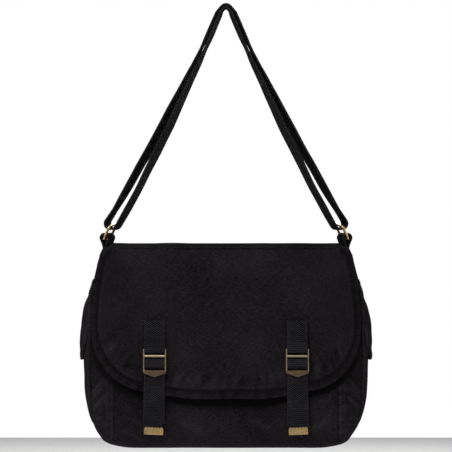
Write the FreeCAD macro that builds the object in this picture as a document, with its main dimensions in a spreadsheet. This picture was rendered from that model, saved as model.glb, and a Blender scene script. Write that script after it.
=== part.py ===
"""Canvas messenger bag hanging by its shoulder strap, in millimetres.

The sketches are drawn with the bag's base at height 0. Every sub-part's Placement then lowers
it, so that the origin is the inner fold of the strap where the bag hangs. The front faces -Y.
"""
import FreeCAD, Part
import math
import os

from FreeCAD import Placement, Rotation, Vector

os.makedirs("parts", exist_ok=True)
doc = FreeCAD.newDocument("messenger_bag")

# ---------------------------------------------------------------- driving dimensions
DIMENSIONS = {
    "hang_height": 545,        # base to the inner fold of the strap
    "body_height": 248,        # base to the rim of the mouth
    "canvas": 3,               # canvas with its lining
    "seam_x": 140,             # front and back panels end here, the gussets begin
    "base_rise": 30,           # the base piece wraps up the gussets this far
    "base_lip": 4,
    "hem_depth": 24,
    "flap_gap": 0.6,
    "flap_thick": 3,
    "binding_wide": 9,
    "binding_proud": 0.7,
    "flap_neck_x": 142,        # half width of the flap between the ring tabs
    "flap_neck_z": 246,
    "flap_side_x": 164.5,
    "flap_side_z": 145,
    "flap_corner": 86.5,       # radius of the flap's lower corners
    "flap_drop_z": 56,         # lowest point of the flap
    "flap_wrap_y": 46,         # the flap's sides wrap round the front corners to here
    "flap_bend_y": 25.2,       # the open flap bends here, just before the rings and the strap
    "flap_fold_y": 52,
    "flap_top_z": 251.6,
    "strap_wide": 38,
    "strap_ply": 2.4,
    "strap_turn": 6,           # inner radius where the strap turns round a ring
    "ring_wire": 3.5,
    "ring_long": 45.5,         # between the wire's centres
    "ring_short": 17.3,
    "ring_corner": 4,
    "ring_top_x": 141.1,
    "ring_top_z": 274.2,
    "ring_low_x": 148.2,
    "ring_low_z": 258.4,
    "ring_yaw": 9,
    "ring_pitch": 4.5,
    "tab_eye": 4.1,
    "tab_ply": 2.3,
    "closure_x": 87.2,
    "closure_wide": 25,
    "closure_ply": 1.6,
    "buckle_y": 71.4,
    "buckle_thick": 2.6,
    "buckle_wide": 29.2,
    "buckle_rail": 1.7,
    "buckle_top": 122.9,
    "buckle_shoulder": 93.5,
    "buckle_point": 88.7,
    "buckle_bar": 2.6,
    "closure_tab_top": 158.7,
    "tip_low": 18.2,
    "tip_high": 27.4,
    "tip_thick": 3.2,
    "stud_z": 38,
    "pocket_half": 46,
    "pocket_wall": 2.5,
    "lid_half": 44,
    "lid_thick": 3,
    "lid_hem": 7,
}
sheet = doc.addObject("Spreadsheet::Sheet", "Dimensions")
for row, (alias, value) in enumerate(DIMENSIONS.items(), start=1):
    sheet.set(f"A{row}", alias)
    sheet.set(f"B{row}", str(value))
    sheet.setAlias(f"B{row}", alias)
doc.recompute()


def dim(alias):
    """A driving dimension as the sheet holds it."""
    return float(sheet.get(alias))


def lowered(item):
    """Lower a finished sub-part, so that the strap's inner fold is at the origin."""
    item.setExpression("Placement.Base.z", "-Dimensions.hang_height")
    return item


parts = []


def keep(item, label):
    """Name a finished sub-part; it is written to parts/LABEL.step at the end."""
    item.Label = label
    parts.append(item)
    return item


# ---------------------------------------------------------------- general helpers
def feature(name, shape):
    """A Part::Feature for a form that no parametric object covers."""
    item = doc.addObject("Part::Feature", name)
    item.Shape = shape
    return item


def boolean(kind, name, base, tool):
    item = doc.addObject(f"Part::{kind}", name)
    item.Base = base
    item.Tool = tool
    return item


def box(name, low, high):
    """A Part::Box between two corners given as (x, y, z)."""
    item = doc.addObject("Part::Box", name)
    item.Length, item.Width, item.Height = [b - a for a, b in zip(low, high)]
    item.Placement.Base = Vector(*low)
    return item


def mirrored(source, label):
    """The right-hand twin of a left-hand sub-part."""
    item = doc.addObject("Part::Mirroring", label.replace("-", "_") + "_mirror")
    item.Source = source
    item.Normal = Vector(1, 0, 0)
    item.Base = Vector(0, 0, 0)
    return keep(item, label)


def pair(item, stem):
    """Keep a left-hand sub-part and its mirrored twin."""
    keep(item, stem + "_left")
    mirrored(item, stem + "_right")


def body_on(label, role):
    """An empty body and the origin plane of the given role."""
    body = doc.addObject("PartDesign::Body", label)
    plane = [f for f in body.Origin.OriginFeatures if f.Role == role][0]
    return body, plane


def sketch_on(body, plane, name, edges, offset=None):
    """A sketch on one of the body's own origin planes, holding lines, arcs and circles."""
    sketch = body.newObject("Sketcher::SketchObject", name)
    sketch.AttachmentSupport = [(plane, "")]
    sketch.MapMode = "FlatFace"
    if offset:
        sketch.AttachmentOffset = Placement(Vector(*offset), Rotation())
    for edge in edges:
        sketch.addGeometry(edge, False)
    return sketch


def pad(body, sketch, length, midplane=False):
    """Pad a sketch; length is an expression on the sheet."""
    item = body.newObject("PartDesign::Pad", sketch.Name + "_pad")
    item.Profile = sketch
    item.SideType = "Symmetric" if midplane else "One side"
    item.setExpression("Length", length)
    return item


def pocket_through(body, sketch):
    """Cut a sketch through the whole body in both directions."""
    item = body.newObject("PartDesign::Pocket", sketch.Name + "_pocket")
    item.Profile = sketch
    item.Type = "ThroughAll"
    item.SideType = "Symmetric"
    return item


def point(across, up):
    return Vector(across, up, 0)


def polygon(points):
    """Closed run of lines through the points."""
    ends = points[1:] + points[:1]
    return [Part.LineSegment(point(*a), point(*b)) for a, b in zip(points, ends)]


def rectangle(low_across, low_up, high_across, high_up):
    return polygon([(low_across, low_up), (high_across, low_up),
                    (high_across, high_up), (low_across, high_up)])


def wire_of(edges):
    return Part.Wire([Part.Edge(edge) for edge in edges])


def rounded_path(points, radius):
    """Open run of lines through the points, each inner corner rounded by the radius."""
    edges = []
    start = Vector(*points[0])
    for before, corner, after in zip(points, points[1:], points[2:]):
        corner = Vector(*corner)
        back = (Vector(*before) - corner).normalize()
        ahead = (Vector(*after) - corner).normalize()
        half = back.getAngle(ahead) / 2
        reach = radius / math.tan(half)
        middle = (back + ahead).normalize() * (radius / math.sin(half) - radius)
        edges.append(Part.LineSegment(start, corner + back * reach))
        edges.append(Part.Arc(corner + back * reach, corner + middle, corner + ahead * reach))
        start = corner + ahead * reach
    edges.append(Part.LineSegment(start, Vector(*points[-1])))
    return wire_of(edges)


# ---------------------------------------------------------------- the sewn body
# height, half width, front, back, corner radius of the filled bag's outer skin
SECTIONS = [
    (0, 140, 53, 50, 18),
    (12, 155, 59, 56, 22),
    (30, 163, 61.5, 59, 24),
    (75, 166, 62, 60, 25),
    (160, 166, 61, 56, 24),
    (210, 162, 57.5, 49, 20),
    (256, 149, 48, 39, 12),
]
BEYOND = 400                   # longer than the bag, for cutting boxes


def section(height, half, front, back, radius, grow):
    """Rounded rectangle at a height, grown outwards all round by grow."""
    half, front, back, radius = half + grow, front + grow, back + grow, radius + grow
    diagonal = radius * (1 - math.sqrt(0.5))
    corners = [(half, -front, -1, 1), (half, back, -1, -1),
               (-half, back, 1, -1), (-half, -front, 1, 1)]
    edges = []
    starts = []
    for order, (x, y, inward_x, inward_y) in enumerate(corners):
        on_side = Vector(x, y + inward_y * radius, height)
        on_end = Vector(x + inward_x * radius, y, height)
        first, last = (on_end, on_side) if order % 2 == 0 else (on_side, on_end)
        middle = Vector(x + inward_x * diagonal, y + inward_y * diagonal, height)
        starts.append((first, middle, last))
    for (first, middle, last), (following, _, _) in zip(starts, starts[1:] + starts[:1]):
        edges.append(Part.Arc(first, middle, last).toShape())
        edges.append(Part.LineSegment(last, following).toShape())
    return Part.Wire(edges)


def filled(name, grow, lift=0):
    """The bag's outer form as one solid, grown by grow; lift raises its underside."""
    rows = [section(height + (lift if height == 0 else 0), *rest, grow)
            for height, *rest in SECTIONS]
    return feature(name, Part.makeLoft(rows, True, False))


canvas = dim("canvas")
flap_in = dim("flap_gap")
flap_out = flap_in + dim("flap_thick")
binding_in = flap_in - dim("binding_proud") / 2
binding_out = flap_out + dim("binding_proud")
seam_x = dim("seam_x")
rise, lip, rim = dim("base_rise"), dim("base_lip"), dim("body_height")

outer = filled("outer_form", 0)
inner = filled("inner_form", -canvas, lift=canvas)
facing = filled("facing_form", -canvas - 2.5, lift=canvas)
skin = boolean("Cut", "body_skin", outer, inner)
lining = boolean("Cut", "facing_skin", inner, facing)

front_zone = box("front_zone", (-seam_x, -BEYOND, lip), (seam_x, -10, rim))
back_zone = box("back_zone", (-seam_x, -10, lip), (seam_x, BEYOND, rim))
side_zone = box("side_zone", (-BEYOND, -BEYOND, rise), (-seam_x, BEYOND, rim))
keep(lowered(boolean("Common", "front_piece", skin, front_zone)), "front_panel")
keep(lowered(boolean("Common", "back_piece", skin, back_zone)), "back_panel")
pair(lowered(boolean("Common", "side_piece", skin, side_zone)), "gusset")

base_zone = doc.addObject("Part::MultiFuse", "base_zone")
base_zone.Shapes = [
    box("base_middle", (-seam_x, -BEYOND, -1), (seam_x, BEYOND, lip)),
    box("base_left", (-BEYOND, -BEYOND, -1), (-seam_x, BEYOND, rise)),
    box("base_right", (seam_x, -BEYOND, -1), (BEYOND, BEYOND, rise)),
]
keep(lowered(boolean("Common", "base_piece", skin, base_zone)), "base_panel")

hem_low = rim - dim("hem_depth")
hem_zone = box("hem_zone", (-seam_x, -BEYOND, hem_low), (seam_x, -10, rim))
keep(lowered(boolean("Common", "front_hem_piece", lining, hem_zone)), "mouth_hem_front")
hem_back_zone = box("hem_back_zone", (-seam_x, -10, hem_low), (seam_x, BEYOND, rim))
keep(lowered(boolean("Common", "back_hem_piece", lining, hem_back_zone)), "mouth_hem_back")
cap_zone = box("cap_zone", (-BEYOND, -BEYOND, rim - 14), (-seam_x, BEYOND, rim))
pair(lowered(boolean("Common", "gusset_hem_piece", lining, cap_zone)), "gusset_hem")


# ---------------------------------------------------------------- flap over mouth and front
def flap_outline(inset):
    """D-shaped outline of the flap in X and Z, drawn inwards by inset."""
    side, level = dim("flap_side_x") - inset, dim("flap_side_z")
    radius = dim("flap_corner") - inset
    low, corner_x = level - radius, side - radius
    waist = 154 - inset
    slant = radius * math.sqrt(0.5)
    top = dim("flap_top_z")
    return [
        Part.LineSegment(point(-waist, top), point(waist, top)),
        Part.Arc(point(waist, top), point(side - 1.5, 200), point(side, level)),
        Part.Arc(point(side, level), point(corner_x + slant, level - slant), point(corner_x, low)),
        Part.Arc(point(corner_x, low), point(0, dim("flap_drop_z") + inset), point(-corner_x, low)),
        Part.Arc(point(-corner_x, low), point(-corner_x - slant, level - slant),
                 point(-side, level)),
        Part.Arc(point(-side, level), point(1.5 - side, 200), point(-waist, top)),
    ]


def prism(label, edges):
    """A prism over edges drawn in X and Z, running forwards from where the flap's sides end."""
    body, plane = body_on(label, "XZ_Plane")
    pad(body, sketch_on(body, plane, label + "_outline", edges, (0, 0, dim("flap_wrap_y"))), "100")
    return body


grown_in = filled("flap_inside", flap_in)
grown_out = filled("flap_outside", flap_out)
bound_in = filled("binding_inside", binding_in)
bound_out = filled("binding_outside", binding_out)
flap_skin = boolean("Cut", "flap_skin", grown_out, grown_in)
binding_skin = boolean("Cut", "binding_skin", bound_out, bound_in)

neck_x, neck_z = dim("flap_neck_x"), dim("flap_neck_z")
top_z = dim("flap_top_z")
tab_notches = doc.addObject("Part::MultiFuse", "tab_notches")
tab_notches.Shapes = [
    box("notch_left", (-BEYOND, -BEYOND, neck_z), (-neck_x, BEYOND, BEYOND)),
    box("notch_right", (neck_x, -BEYOND, neck_z), (BEYOND, BEYOND, BEYOND)),
]
inside_line = prism("flap_field", flap_outline(dim("binding_wide")))
whole_line = prism("flap_whole", flap_outline(0))
apron = boolean("Common", "apron", flap_skin, inside_line)
keep(lowered(boolean("Cut", "apron_piece", apron, tab_notches)), "flap_front_panel")
edge_band = boolean("Cut", "edge_band", whole_line, prism("flap_field_tool",
                                                        flap_outline(dim("binding_wide"))))
band = boolean("Common", "binding_band", binding_skin, edge_band)
keep(lowered(boolean("Cut", "binding_piece", band, tab_notches)), "flap_binding")


def strip(label, y_front, y_back):
    """Part of the flap that lies level over the mouth, between the ring tabs."""
    body, plane = body_on(label, "YZ_Plane")
    edges = rectangle(y_front, rim + 0.3, y_back, top_z)
    sketch = sketch_on(body, plane, label + "_section", edges)
    pad(body, sketch, "Dimensions.flap_neck_x * 2", midplane=True)
    return keep(lowered(body), label)


bend_y, fold_y = dim("flap_bend_y"), dim("flap_fold_y")
strip("flap_top_panel", -fold_y + dim("flap_thick"), -bend_y)
strip("flap_back_panel", -bend_y, 41)


# ---------------------------------------------------------------- rings, tabs and strap
ring_top = Vector(dim("ring_top_x"), 0, dim("ring_top_z"))
ring_low = Vector(dim("ring_low_x"), 0, dim("ring_low_z"))
tilt = math.degrees(math.atan2(ring_low.x - ring_top.x, ring_top.z - ring_low.z))

ring, ring_plane = body_on("ring_left", "YZ_Plane")
half_long, half_short = dim("ring_long") / 2, dim("ring_short") / 2
bend = dim("ring_corner")
nip = bend * (1 - math.sqrt(0.5))
quarter = [(half_long, half_short), (-half_long, half_short),
           (-half_long, -half_short), (half_long, -half_short)]
ring_edges = []
for (y, z), (next_y, next_z) in zip(quarter, quarter[1:] + quarter[:1]):
    y_in, z_in = math.copysign(1, -y), math.copysign(1, -z)
    on_long, on_short = point(y + y_in * bend, z), point(y, z + z_in * bend)
    turn = point(y + y_in * nip, z + z_in * nip)
    leaves_long = next_z == z
    first, last = (on_short, on_long) if leaves_long else (on_long, on_short)
    ring_edges.append(Part.Arc(first, turn, last))
    next_in = point(next_y + (math.copysign(bend, -next_y) if leaves_long else 0),
                    next_z + (0 if leaves_long else math.copysign(bend, -next_z)))
    ring_edges.append(Part.LineSegment(last, next_in))
ring_path = sketch_on(ring, ring_plane, "ring_path", ring_edges)
wire_plane = [f for f in ring.Origin.OriginFeatures if f.Role == "XZ_Plane"][0]
wire_round = sketch_on(ring, wire_plane, "wire_round",
                       [Part.Circle(point(0, half_short), Vector(0, 0, 1), dim("ring_wire") / 2)])
ring_pipe = ring.newObject("PartDesign::AdditivePipe", "ring_wire_pipe")
ring_pipe.Profile = wire_round
ring_pipe.Spine = ring_path
turn_all = (Rotation(Vector(0, 0, 1), -dim("ring_yaw")) * Rotation(Vector(1, 0, 0), dim("ring_pitch"))
            * Rotation(Vector(0, 1, 0), tilt))
middle = (ring_top + ring_low) / 2
ring.Placement = Placement(Vector(-middle.x, 0, middle.z - dim("hang_height")), turn_all)
pair(ring, "ring")

tab, tab_plane = body_on("ring_tab_left", "XZ_Plane")
eye = dim("tab_eye")
shell = eye + dim("tab_ply")
root = Vector(dim("tab_ply") + 0.1, rim - ring_low.z, 0)
tangent = math.atan2(root.y, root.x) + math.acos(shell / root.Length)
touch = point(shell * math.cos(tangent), shell * math.sin(tangent))
tab_sketch = sketch_on(tab, tab_plane, "tab_loop", [
    Part.LineSegment(point(-root.x, root.y), root),
    Part.LineSegment(root, touch),
    Part.Arc(touch, point(0, shell), point(-touch.x, touch.y)),
    Part.LineSegment(point(-touch.x, touch.y), point(-root.x, root.y)),
    Part.Circle(point(0, 0), Vector(0, 0, 1), eye),
])
pad(tab, tab_sketch, "Dimensions.strap_wide", midplane=True)
tab.Placement = Placement(Vector(-ring_low.x, 0, ring_low.z - dim("hang_height")),
                          Rotation(Vector(0, 0, 1), -dim("ring_yaw")))
pair(tab, "ring_tab")

ply = dim("strap_ply")
turn_in = dim("strap_turn")
APEX_IN, APEX_OUT = dim("hang_height"), dim("hang_height") + 5.5
TURN_Z = 276
LEG_TOP_X, LEG_TOP_Z, LEG_TOP_HALF = 8.8, 537, 3.6


def leg(x_turn, y, half_turn, half_top, top_x=LEG_TOP_X, top_z=LEG_TOP_Z):
    """Corners of one tapering strap leg: the low turn's centre and the two long edges' ends."""
    low, high = Vector(x_turn, y, TURN_Z), Vector(top_x, y, top_z)
    along = (high - low).normalize()
    side = Vector(along.z, 0, -along.x)
    return {"outer_low": low + side * half_turn, "bottom": low - along * half_turn,
            "inner_low": low - side * half_turn, "outer_high": high + side * half_top,
            "inner_high": high - side * half_top, "top": high + along * half_top}


def flipped(spot):
    return Vector(-spot.x, spot.y, spot.z)


def strap_outline(y, sway):
    """The strap's outline at one edge of the webbing; sway moves both ring ends outwards."""
    right = leg(dim("ring_top_x") + sway, y, turn_in + ply, LEG_TOP_HALF)
    left = {name: flipped(spot) for name, spot in right.items()}
    fold_out, fold_in = Vector(0, y, APEX_OUT), Vector(0, y, APEX_IN)
    runs = [
        Part.Arc(left["outer_high"], fold_out, right["outer_high"]),
        Part.LineSegment(right["outer_high"], right["outer_low"]),
        Part.Arc(right["outer_low"], right["bottom"], right["inner_low"]),
        Part.LineSegment(right["inner_low"], right["inner_high"]),
        Part.LineSegment(right["inner_high"], fold_in),
        Part.LineSegment(fold_in, left["inner_high"]),
        Part.LineSegment(left["inner_high"], left["inner_low"]),
        Part.Arc(left["inner_low"], left["bottom"], left["outer_low"]),
        Part.LineSegment(left["outer_low"], left["outer_high"]),
    ]
    return wire_of(runs)


def strap_gap(y, sway, side):
    """The long opening between the two plies of one leg, round at the ring."""
    spots = leg(dim("ring_top_x") + sway, y, turn_in, LEG_TOP_HALF - ply)
    if side < 0:
        spots = {name: flipped(spot) for name, spot in spots.items()}
    return wire_of([
        Part.LineSegment(spots["outer_high"], spots["outer_low"]),
        Part.Arc(spots["outer_low"], spots["bottom"], spots["inner_low"]),
        Part.LineSegment(spots["inner_low"], spots["inner_high"]),
        Part.Arc(spots["inner_high"], spots["top"], spots["outer_high"]),
    ])


half_strap = dim("strap_wide") / 2
sway = half_strap * math.sin(math.radians(dim("ring_yaw")))
band_solid = Part.makeLoft([strap_outline(-half_strap, sway), strap_outline(half_strap, -sway)],
                           True, True)
for side in (-1, 1):
    gap = Part.makeLoft([strap_gap(-half_strap, sway, side), strap_gap(half_strap, -sway, side)],
                        True, True)
    band_solid = band_solid.cut(gap)
keep(lowered(feature("strap_band", band_solid)), "shoulder_strap")

# ---------------------------------------------------------------- closures on the flap
closure_x, buckle_y = dim("closure_x"), dim("buckle_y")
buckle_half = dim("buckle_wide") / 2
window_half = buckle_half - dim("buckle_rail")
bar = dim("buckle_bar")
top_bar_z = dim("buckle_top") - bar / 2
BAR_PITCH = (7.4, 16.4)        # from the top bar down to the crossbar and the hidden bar

# the webbing tab that holds the buckle: stitched above, a loop round the top bar below
closure_tab, closure_plane = body_on("closure_tab_solid", "YZ_Plane")
hold = bar / 2 + 0.5
wrap = hold + 2
tab_front = -buckle_y + 1.5
closure_sketch = sketch_on(closure_tab, closure_plane, "closure_tab_section", [
    Part.LineSegment(point(-60, top_bar_z), point(-60, dim("closure_tab_top"))),
    Part.LineSegment(point(-60, dim("closure_tab_top")), point(tab_front, dim("closure_tab_top"))),
    Part.LineSegment(point(tab_front, dim("closure_tab_top")), point(tab_front, top_bar_z + 6)),
    Part.LineSegment(point(tab_front, top_bar_z + 6), point(-buckle_y - wrap, top_bar_z)),
    Part.Arc(point(-buckle_y - wrap, top_bar_z), point(-buckle_y, top_bar_z - wrap),
             point(-buckle_y + wrap, top_bar_z)),
    Part.LineSegment(point(-buckle_y + wrap, top_bar_z), point(-60, top_bar_z)),
    Part.Circle(point(-buckle_y, top_bar_z), Vector(0, 0, 1), hold),
])
pad(closure_tab, closure_sketch, "Dimensions.closure_wide", midplane=True)
closure_tab.Placement.Base = Vector(-closure_x, 0, 0)
pair(lowered(boolean("Cut", "closure_tab_piece", closure_tab, grown_out)), "closure_tab")

# the ladder-lock buckle: two rails, three round bars and a pointed plate
buckle, buckle_plane = body_on("buckle_left", "XZ_Plane")
top, shoulder, tip_z = dim("buckle_top"), dim("buckle_shoulder"), dim("buckle_point")
ROUND = 1.6
outline = sketch_on(buckle, buckle_plane, "buckle_outline", [
    Part.LineSegment(point(ROUND - buckle_half, top), point(buckle_half - ROUND, top)),
    Part.Arc(point(buckle_half - ROUND, top), point(buckle_half - 0.47, top - 0.47),
             point(buckle_half, top - ROUND)),
    Part.LineSegment(point(buckle_half, top - ROUND), point(buckle_half, shoulder)),
    Part.LineSegment(point(buckle_half, shoulder), point(2, tip_z + 0.4)),
    Part.Arc(point(2, tip_z + 0.4), point(0, tip_z), point(-2, tip_z + 0.4)),
    Part.LineSegment(point(-2, tip_z + 0.4), point(-buckle_half, shoulder)),
    Part.LineSegment(point(-buckle_half, shoulder), point(-buckle_half, top - ROUND)),
    Part.Arc(point(-buckle_half, top - ROUND), point(0.47 - buckle_half, top - 0.47),
             point(ROUND - buckle_half, top)),
])
pad(buckle, outline, "Dimensions.buckle_thick", midplane=True)
PLATE_TOP = 96.4
window = sketch_on(buckle, buckle_plane, "buckle_window",
                   rectangle(-window_half, PLATE_TOP, window_half, top + 5))
pocket_through(buckle, window)
levels = [top_bar_z] + [top_bar_z - pitch for pitch in BAR_PITCH]
rail_plane = [f for f in buckle.Origin.OriginFeatures if f.Role == "YZ_Plane"][0]
bars = sketch_on(buckle, rail_plane, "buckle_bars",
                 [Part.Circle(point(0, level), Vector(0, 0, 1), bar / 2) for level in levels])
pad(buckle, bars, "Dimensions.buckle_wide - 2 * Dimensions.buckle_rail + 0.6", midplane=True)
buckle.Placement.Base = Vector(-closure_x, -buckle_y, 0)
pair(lowered(buckle), "buckle")

# the closure strap: up behind the plate, over the hidden bar, down again to the brass tip
half_ply = dim("closure_ply") / 2
back_run = -buckle_y + dim("buckle_thick") / 2 + half_ply + dim("closure_ply") + 0.2
tail_run = -buckle_y + dim("buckle_thick") / 2 + half_ply
bulge_run = -buckle_y - dim("buckle_thick") / 2 - half_ply - 0.2
over, under = levels[2] + bar / 2 + 3.8, levels[2] - bar / 2 - 3.6
STRAP_END_Z, TAIL_END_Z, CORNER = 30, 20.4, 2.0
route = rounded_path([(0, back_run, STRAP_END_Z), (0, back_run, over), (0, bulge_run, over),
                      (0, bulge_run, under), (0, tail_run, under), (0, tail_run, TAIL_END_Z)],
                     CORNER)


def ribbon(path, half):
    """Closed outline of a flat band whose middle runs along the path in Y and Z."""
    sides = []
    for sign in (1, -1):
        runs = []
        for edge in path.Edges:
            ends = [edge.valueAt(p) for p in (edge.FirstParameter,
                                              (edge.FirstParameter + edge.LastParameter) / 2,
                                              edge.LastParameter)]
            tangents = [edge.tangentAt(p) for p in (edge.FirstParameter,
                                                    (edge.FirstParameter + edge.LastParameter) / 2,
                                                    edge.LastParameter)]
            moved = [p + Vector(0, -d.z, d.y) * (sign * half) for p, d in zip(ends, tangents)]
            if isinstance(edge.Curve, Part.Line):
                runs.append(Part.LineSegment(moved[0], moved[2]).toShape())
            else:
                runs.append(Part.Arc(*moved).toShape())
        sides.append(runs)
    starts = [Part.Wire(side).OrderedVertexes for side in sides]
    caps = [Part.LineSegment(starts[0][at].Point, starts[1][at].Point).toShape()
            for at in (0, -1)]
    return Part.Wire(Part.__sortEdges__(sides[0] + sides[1] + caps))


half_closure = dim("closure_wide") / 2
strap_face = Part.Face(ribbon(route, half_ply))
strap_face.translate(Vector(-closure_x - half_closure, 0, 0))
strap_solid = strap_face.extrude(Vector(2 * half_closure, 0, 0))
pair(lowered(feature("closure_ribbon", strap_solid)), "closure_strap")

# the crimped brass tip, with teeth along its upper edge and a slot for the webbing
tip, tip_plane = body_on("strap_tip_left", "XZ_Plane")
tip_half = half_closure + 0.7
TEETH, TOOTH = 9, 1.5
tip_low, tip_high = dim("tip_low"), dim("tip_high")
pitch = 2 * tip_half / TEETH
saw = [(-tip_half, tip_low), (tip_half, tip_low), (tip_half, tip_high - TOOTH)]
for tooth in range(TEETH):
    right_edge = tip_half - tooth * pitch
    saw += [(right_edge - pitch / 2, tip_high), (right_edge - pitch, tip_high - TOOTH)]
pad(tip, sketch_on(tip, tip_plane, "tip_outline", polygon(saw)), "Dimensions.tip_thick",
    midplane=True)
side_plane = [f for f in tip.Origin.OriginFeatures if f.Role == "YZ_Plane"][0]
slot_half = half_ply + 0.05
slot_sketch = sketch_on(tip, side_plane, "tip_slot",
                        rectangle(-slot_half, TAIL_END_Z, slot_half, tip_high + 2))
slot = tip.newObject("PartDesign::Pocket", "tip_slot_pocket")
slot.Profile = slot_sketch
slot.SideType = "Symmetric"
slot.setExpression("Length", "Dimensions.closure_wide + 0.2")
tip.Placement.Base = Vector(-closure_x, tail_run, 0)
pair(lowered(tip), "strap_tip")


# ---------------------------------------------------------------- hidden press studs
def turned(label, outline_points):
    """A revolved piece on the Y axis; the outline gives radius and distance forward."""
    body, plane = body_on(label, "XY_Plane")
    sketch = sketch_on(body, plane, label + "_profile", polygon(outline_points),
                       (0, 0, dim("stud_z")))
    spin = body.newObject("PartDesign::Revolution", label + "_turn")
    spin.Profile = sketch
    spin.ReferenceAxis = (sketch, ["V_Axis"])
    spin.Angle = 360
    body.Placement.Base = Vector(-closure_x, 0, 0)
    return body


socket_face = back_run + half_ply
pair(lowered(turned("socket_turned", [(3.3, socket_face), (6, socket_face),
                                      (5.4, socket_face + 2.6), (3.3, socket_face + 2.6)])),
     "stud_socket")
stud_end = socket_face + 1.4
stud = turned("stud_turned", [(0, -55), (5, -55), (5, -62.8), (2.2, -62.8), (2.6, stud_end + 0.6),
                              (2.0, stud_end), (0, stud_end)])
pair(lowered(boolean("Cut", "press_stud_piece", stud, outer)), "press_stud")


# ---------------------------------------------------------------- side pockets and their lids
def side_prism(label, edges, half_expression):
    """A form drawn in X and Z on the left gusset, spread evenly along Y."""
    body, plane = body_on(label, "XZ_Plane")
    pad(body, sketch_on(body, plane, label + "_section", edges), half_expression + " * 2",
        midplane=True)
    return body


def bulge(shift):
    """Section of the filled side pocket, drawn inwards by shift."""
    low, high = 27 + shift, 152 + (5 if shift else 0)
    return [
        Part.LineSegment(point(-150, low), point(-163 + shift, low)),
        Part.Arc(point(-163 + shift, low), point(-174 + shift, 52), point(-176.6 + shift, 80)),
        Part.Arc(point(-176.6 + shift, 80), point(-176.6 + shift, 115), point(-174.6 + shift, high)),
        Part.LineSegment(point(-174.6 + shift, high), point(-150, high)),
        Part.LineSegment(point(-150, high), point(-150, low)),
    ]


wall = dim("pocket_wall")
pocket_solid = side_prism("pocket_solid", bulge(0), "Dimensions.pocket_half")
pocket_hollow = side_prism("pocket_hollow", bulge(wall),
                           "(Dimensions.pocket_half - Dimensions.pocket_wall)")
hollowed = boolean("Cut", "pocket_hollowed", pocket_solid, pocket_hollow)
pair(lowered(boolean("Cut", "pocket_piece", hollowed, outer)), "side_pocket")

LID_TOP, LID_BEND, LID_LOW = 207, 145, 106
LID_X_TOP, LID_X_MID, LID_X_LOW = 166.2, 175.5, 181.6


def lid_section(inner, outer_shift):
    """Section of a pocket lid: it leaves the gusset, curves over and hangs straight."""
    near, far = inner, -outer_shift
    return [
        Part.Arc(point(-LID_X_TOP + near, LID_TOP), point(-LID_X_MID + near, 181),
                 point(-LID_X_LOW + near, LID_BEND)),
        Part.LineSegment(point(-LID_X_LOW + near, LID_BEND), point(-LID_X_LOW + near, LID_LOW - 20)),
        Part.LineSegment(point(-LID_X_LOW + near, LID_LOW - 20),
                         point(-LID_X_LOW + far, LID_LOW - 20)),
        Part.LineSegment(point(-LID_X_LOW + far, LID_LOW - 20), point(-LID_X_LOW + far, LID_BEND)),
        Part.Arc(point(-LID_X_LOW + far, LID_BEND), point(-LID_X_MID + far, 181),
                 point(-LID_X_TOP + far, LID_TOP)),
        Part.LineSegment(point(-LID_X_TOP + far, LID_TOP), point(-LID_X_TOP + near, LID_TOP)),
    ]


def lid_outline(label, inset, top_level):
    """D-shaped outline of the lid seen from the side, as a prism along X."""
    body, plane = body_on(label, "YZ_Plane")
    half = dim("lid_half") - inset
    low = LID_LOW + inset
    shoulder_z = LID_LOW + 32
    sketch = sketch_on(body, plane, label + "_outline", [
        Part.LineSegment(point(half, top_level), point(-half, top_level)),
        Part.LineSegment(point(-half, top_level), point(-half, shoulder_z)),
        Part.Arc(point(-half, shoulder_z), point(0, low), point(half, shoulder_z)),
        Part.LineSegment(point(half, shoulder_z), point(half, top_level)),
    ])
    pad(body, sketch, "500", midplane=True)
    return body


lid_hem = dim("lid_hem")
lid_field = lid_outline("lid_field", lid_hem, LID_TOP + 5)
lid_whole = lid_outline("lid_whole", 0, LID_TOP + 5)
lid_sheet = side_prism("lid_sheet", lid_section(dim("lid_thick"), 0), "50")
pair(lowered(boolean("Common", "lid_piece", lid_sheet, lid_field)), "pocket_flap")
lid_roll = side_prism("lid_roll", lid_section(dim("lid_thick") + 0.4, 1), "50")
lid_edge = boolean("Cut", "lid_edge", lid_whole, lid_outline("lid_field_tool", lid_hem, LID_TOP + 5))
pair(lowered(boolean("Common", "lid_hem_piece", lid_roll, lid_edge)), "pocket_flap_hem")

# ---------------------------------------------------------------- checks and export
doc.recompute()
for item in doc.Objects:
    if {"Invalid", "Error"} & set(item.State):
        raise RuntimeError(f"{item.Label} did not recompute: {item.State}")
for item in parts:
    if item.Shape.isNull() or not item.Shape.isValid() or len(item.Shape.Solids) != 1:
        raise RuntimeError(f"{item.Label} is not one valid solid")
    item.Shape.exportStep(f"parts/{item.Label}.step")
    print(f"{item.Label:22s} {item.Shape.Volume / 1000:9.2f} cm3")
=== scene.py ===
"""Looks of a washed-canvas messenger bag hanging by its shoulder strap.

Laid out as an add-on: settings, one operator for each group of pieces, a sidebar panel, and main.
Helpers work in millimetres with the bag's base at height 0; mesh_piece() turns that into the
row frame in metres, whose origin is the inner fold of the strap. The front faces -Y.
"""
from math import acos, asin, atan2, cos, pi, radians, sin, sqrt, tan

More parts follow.
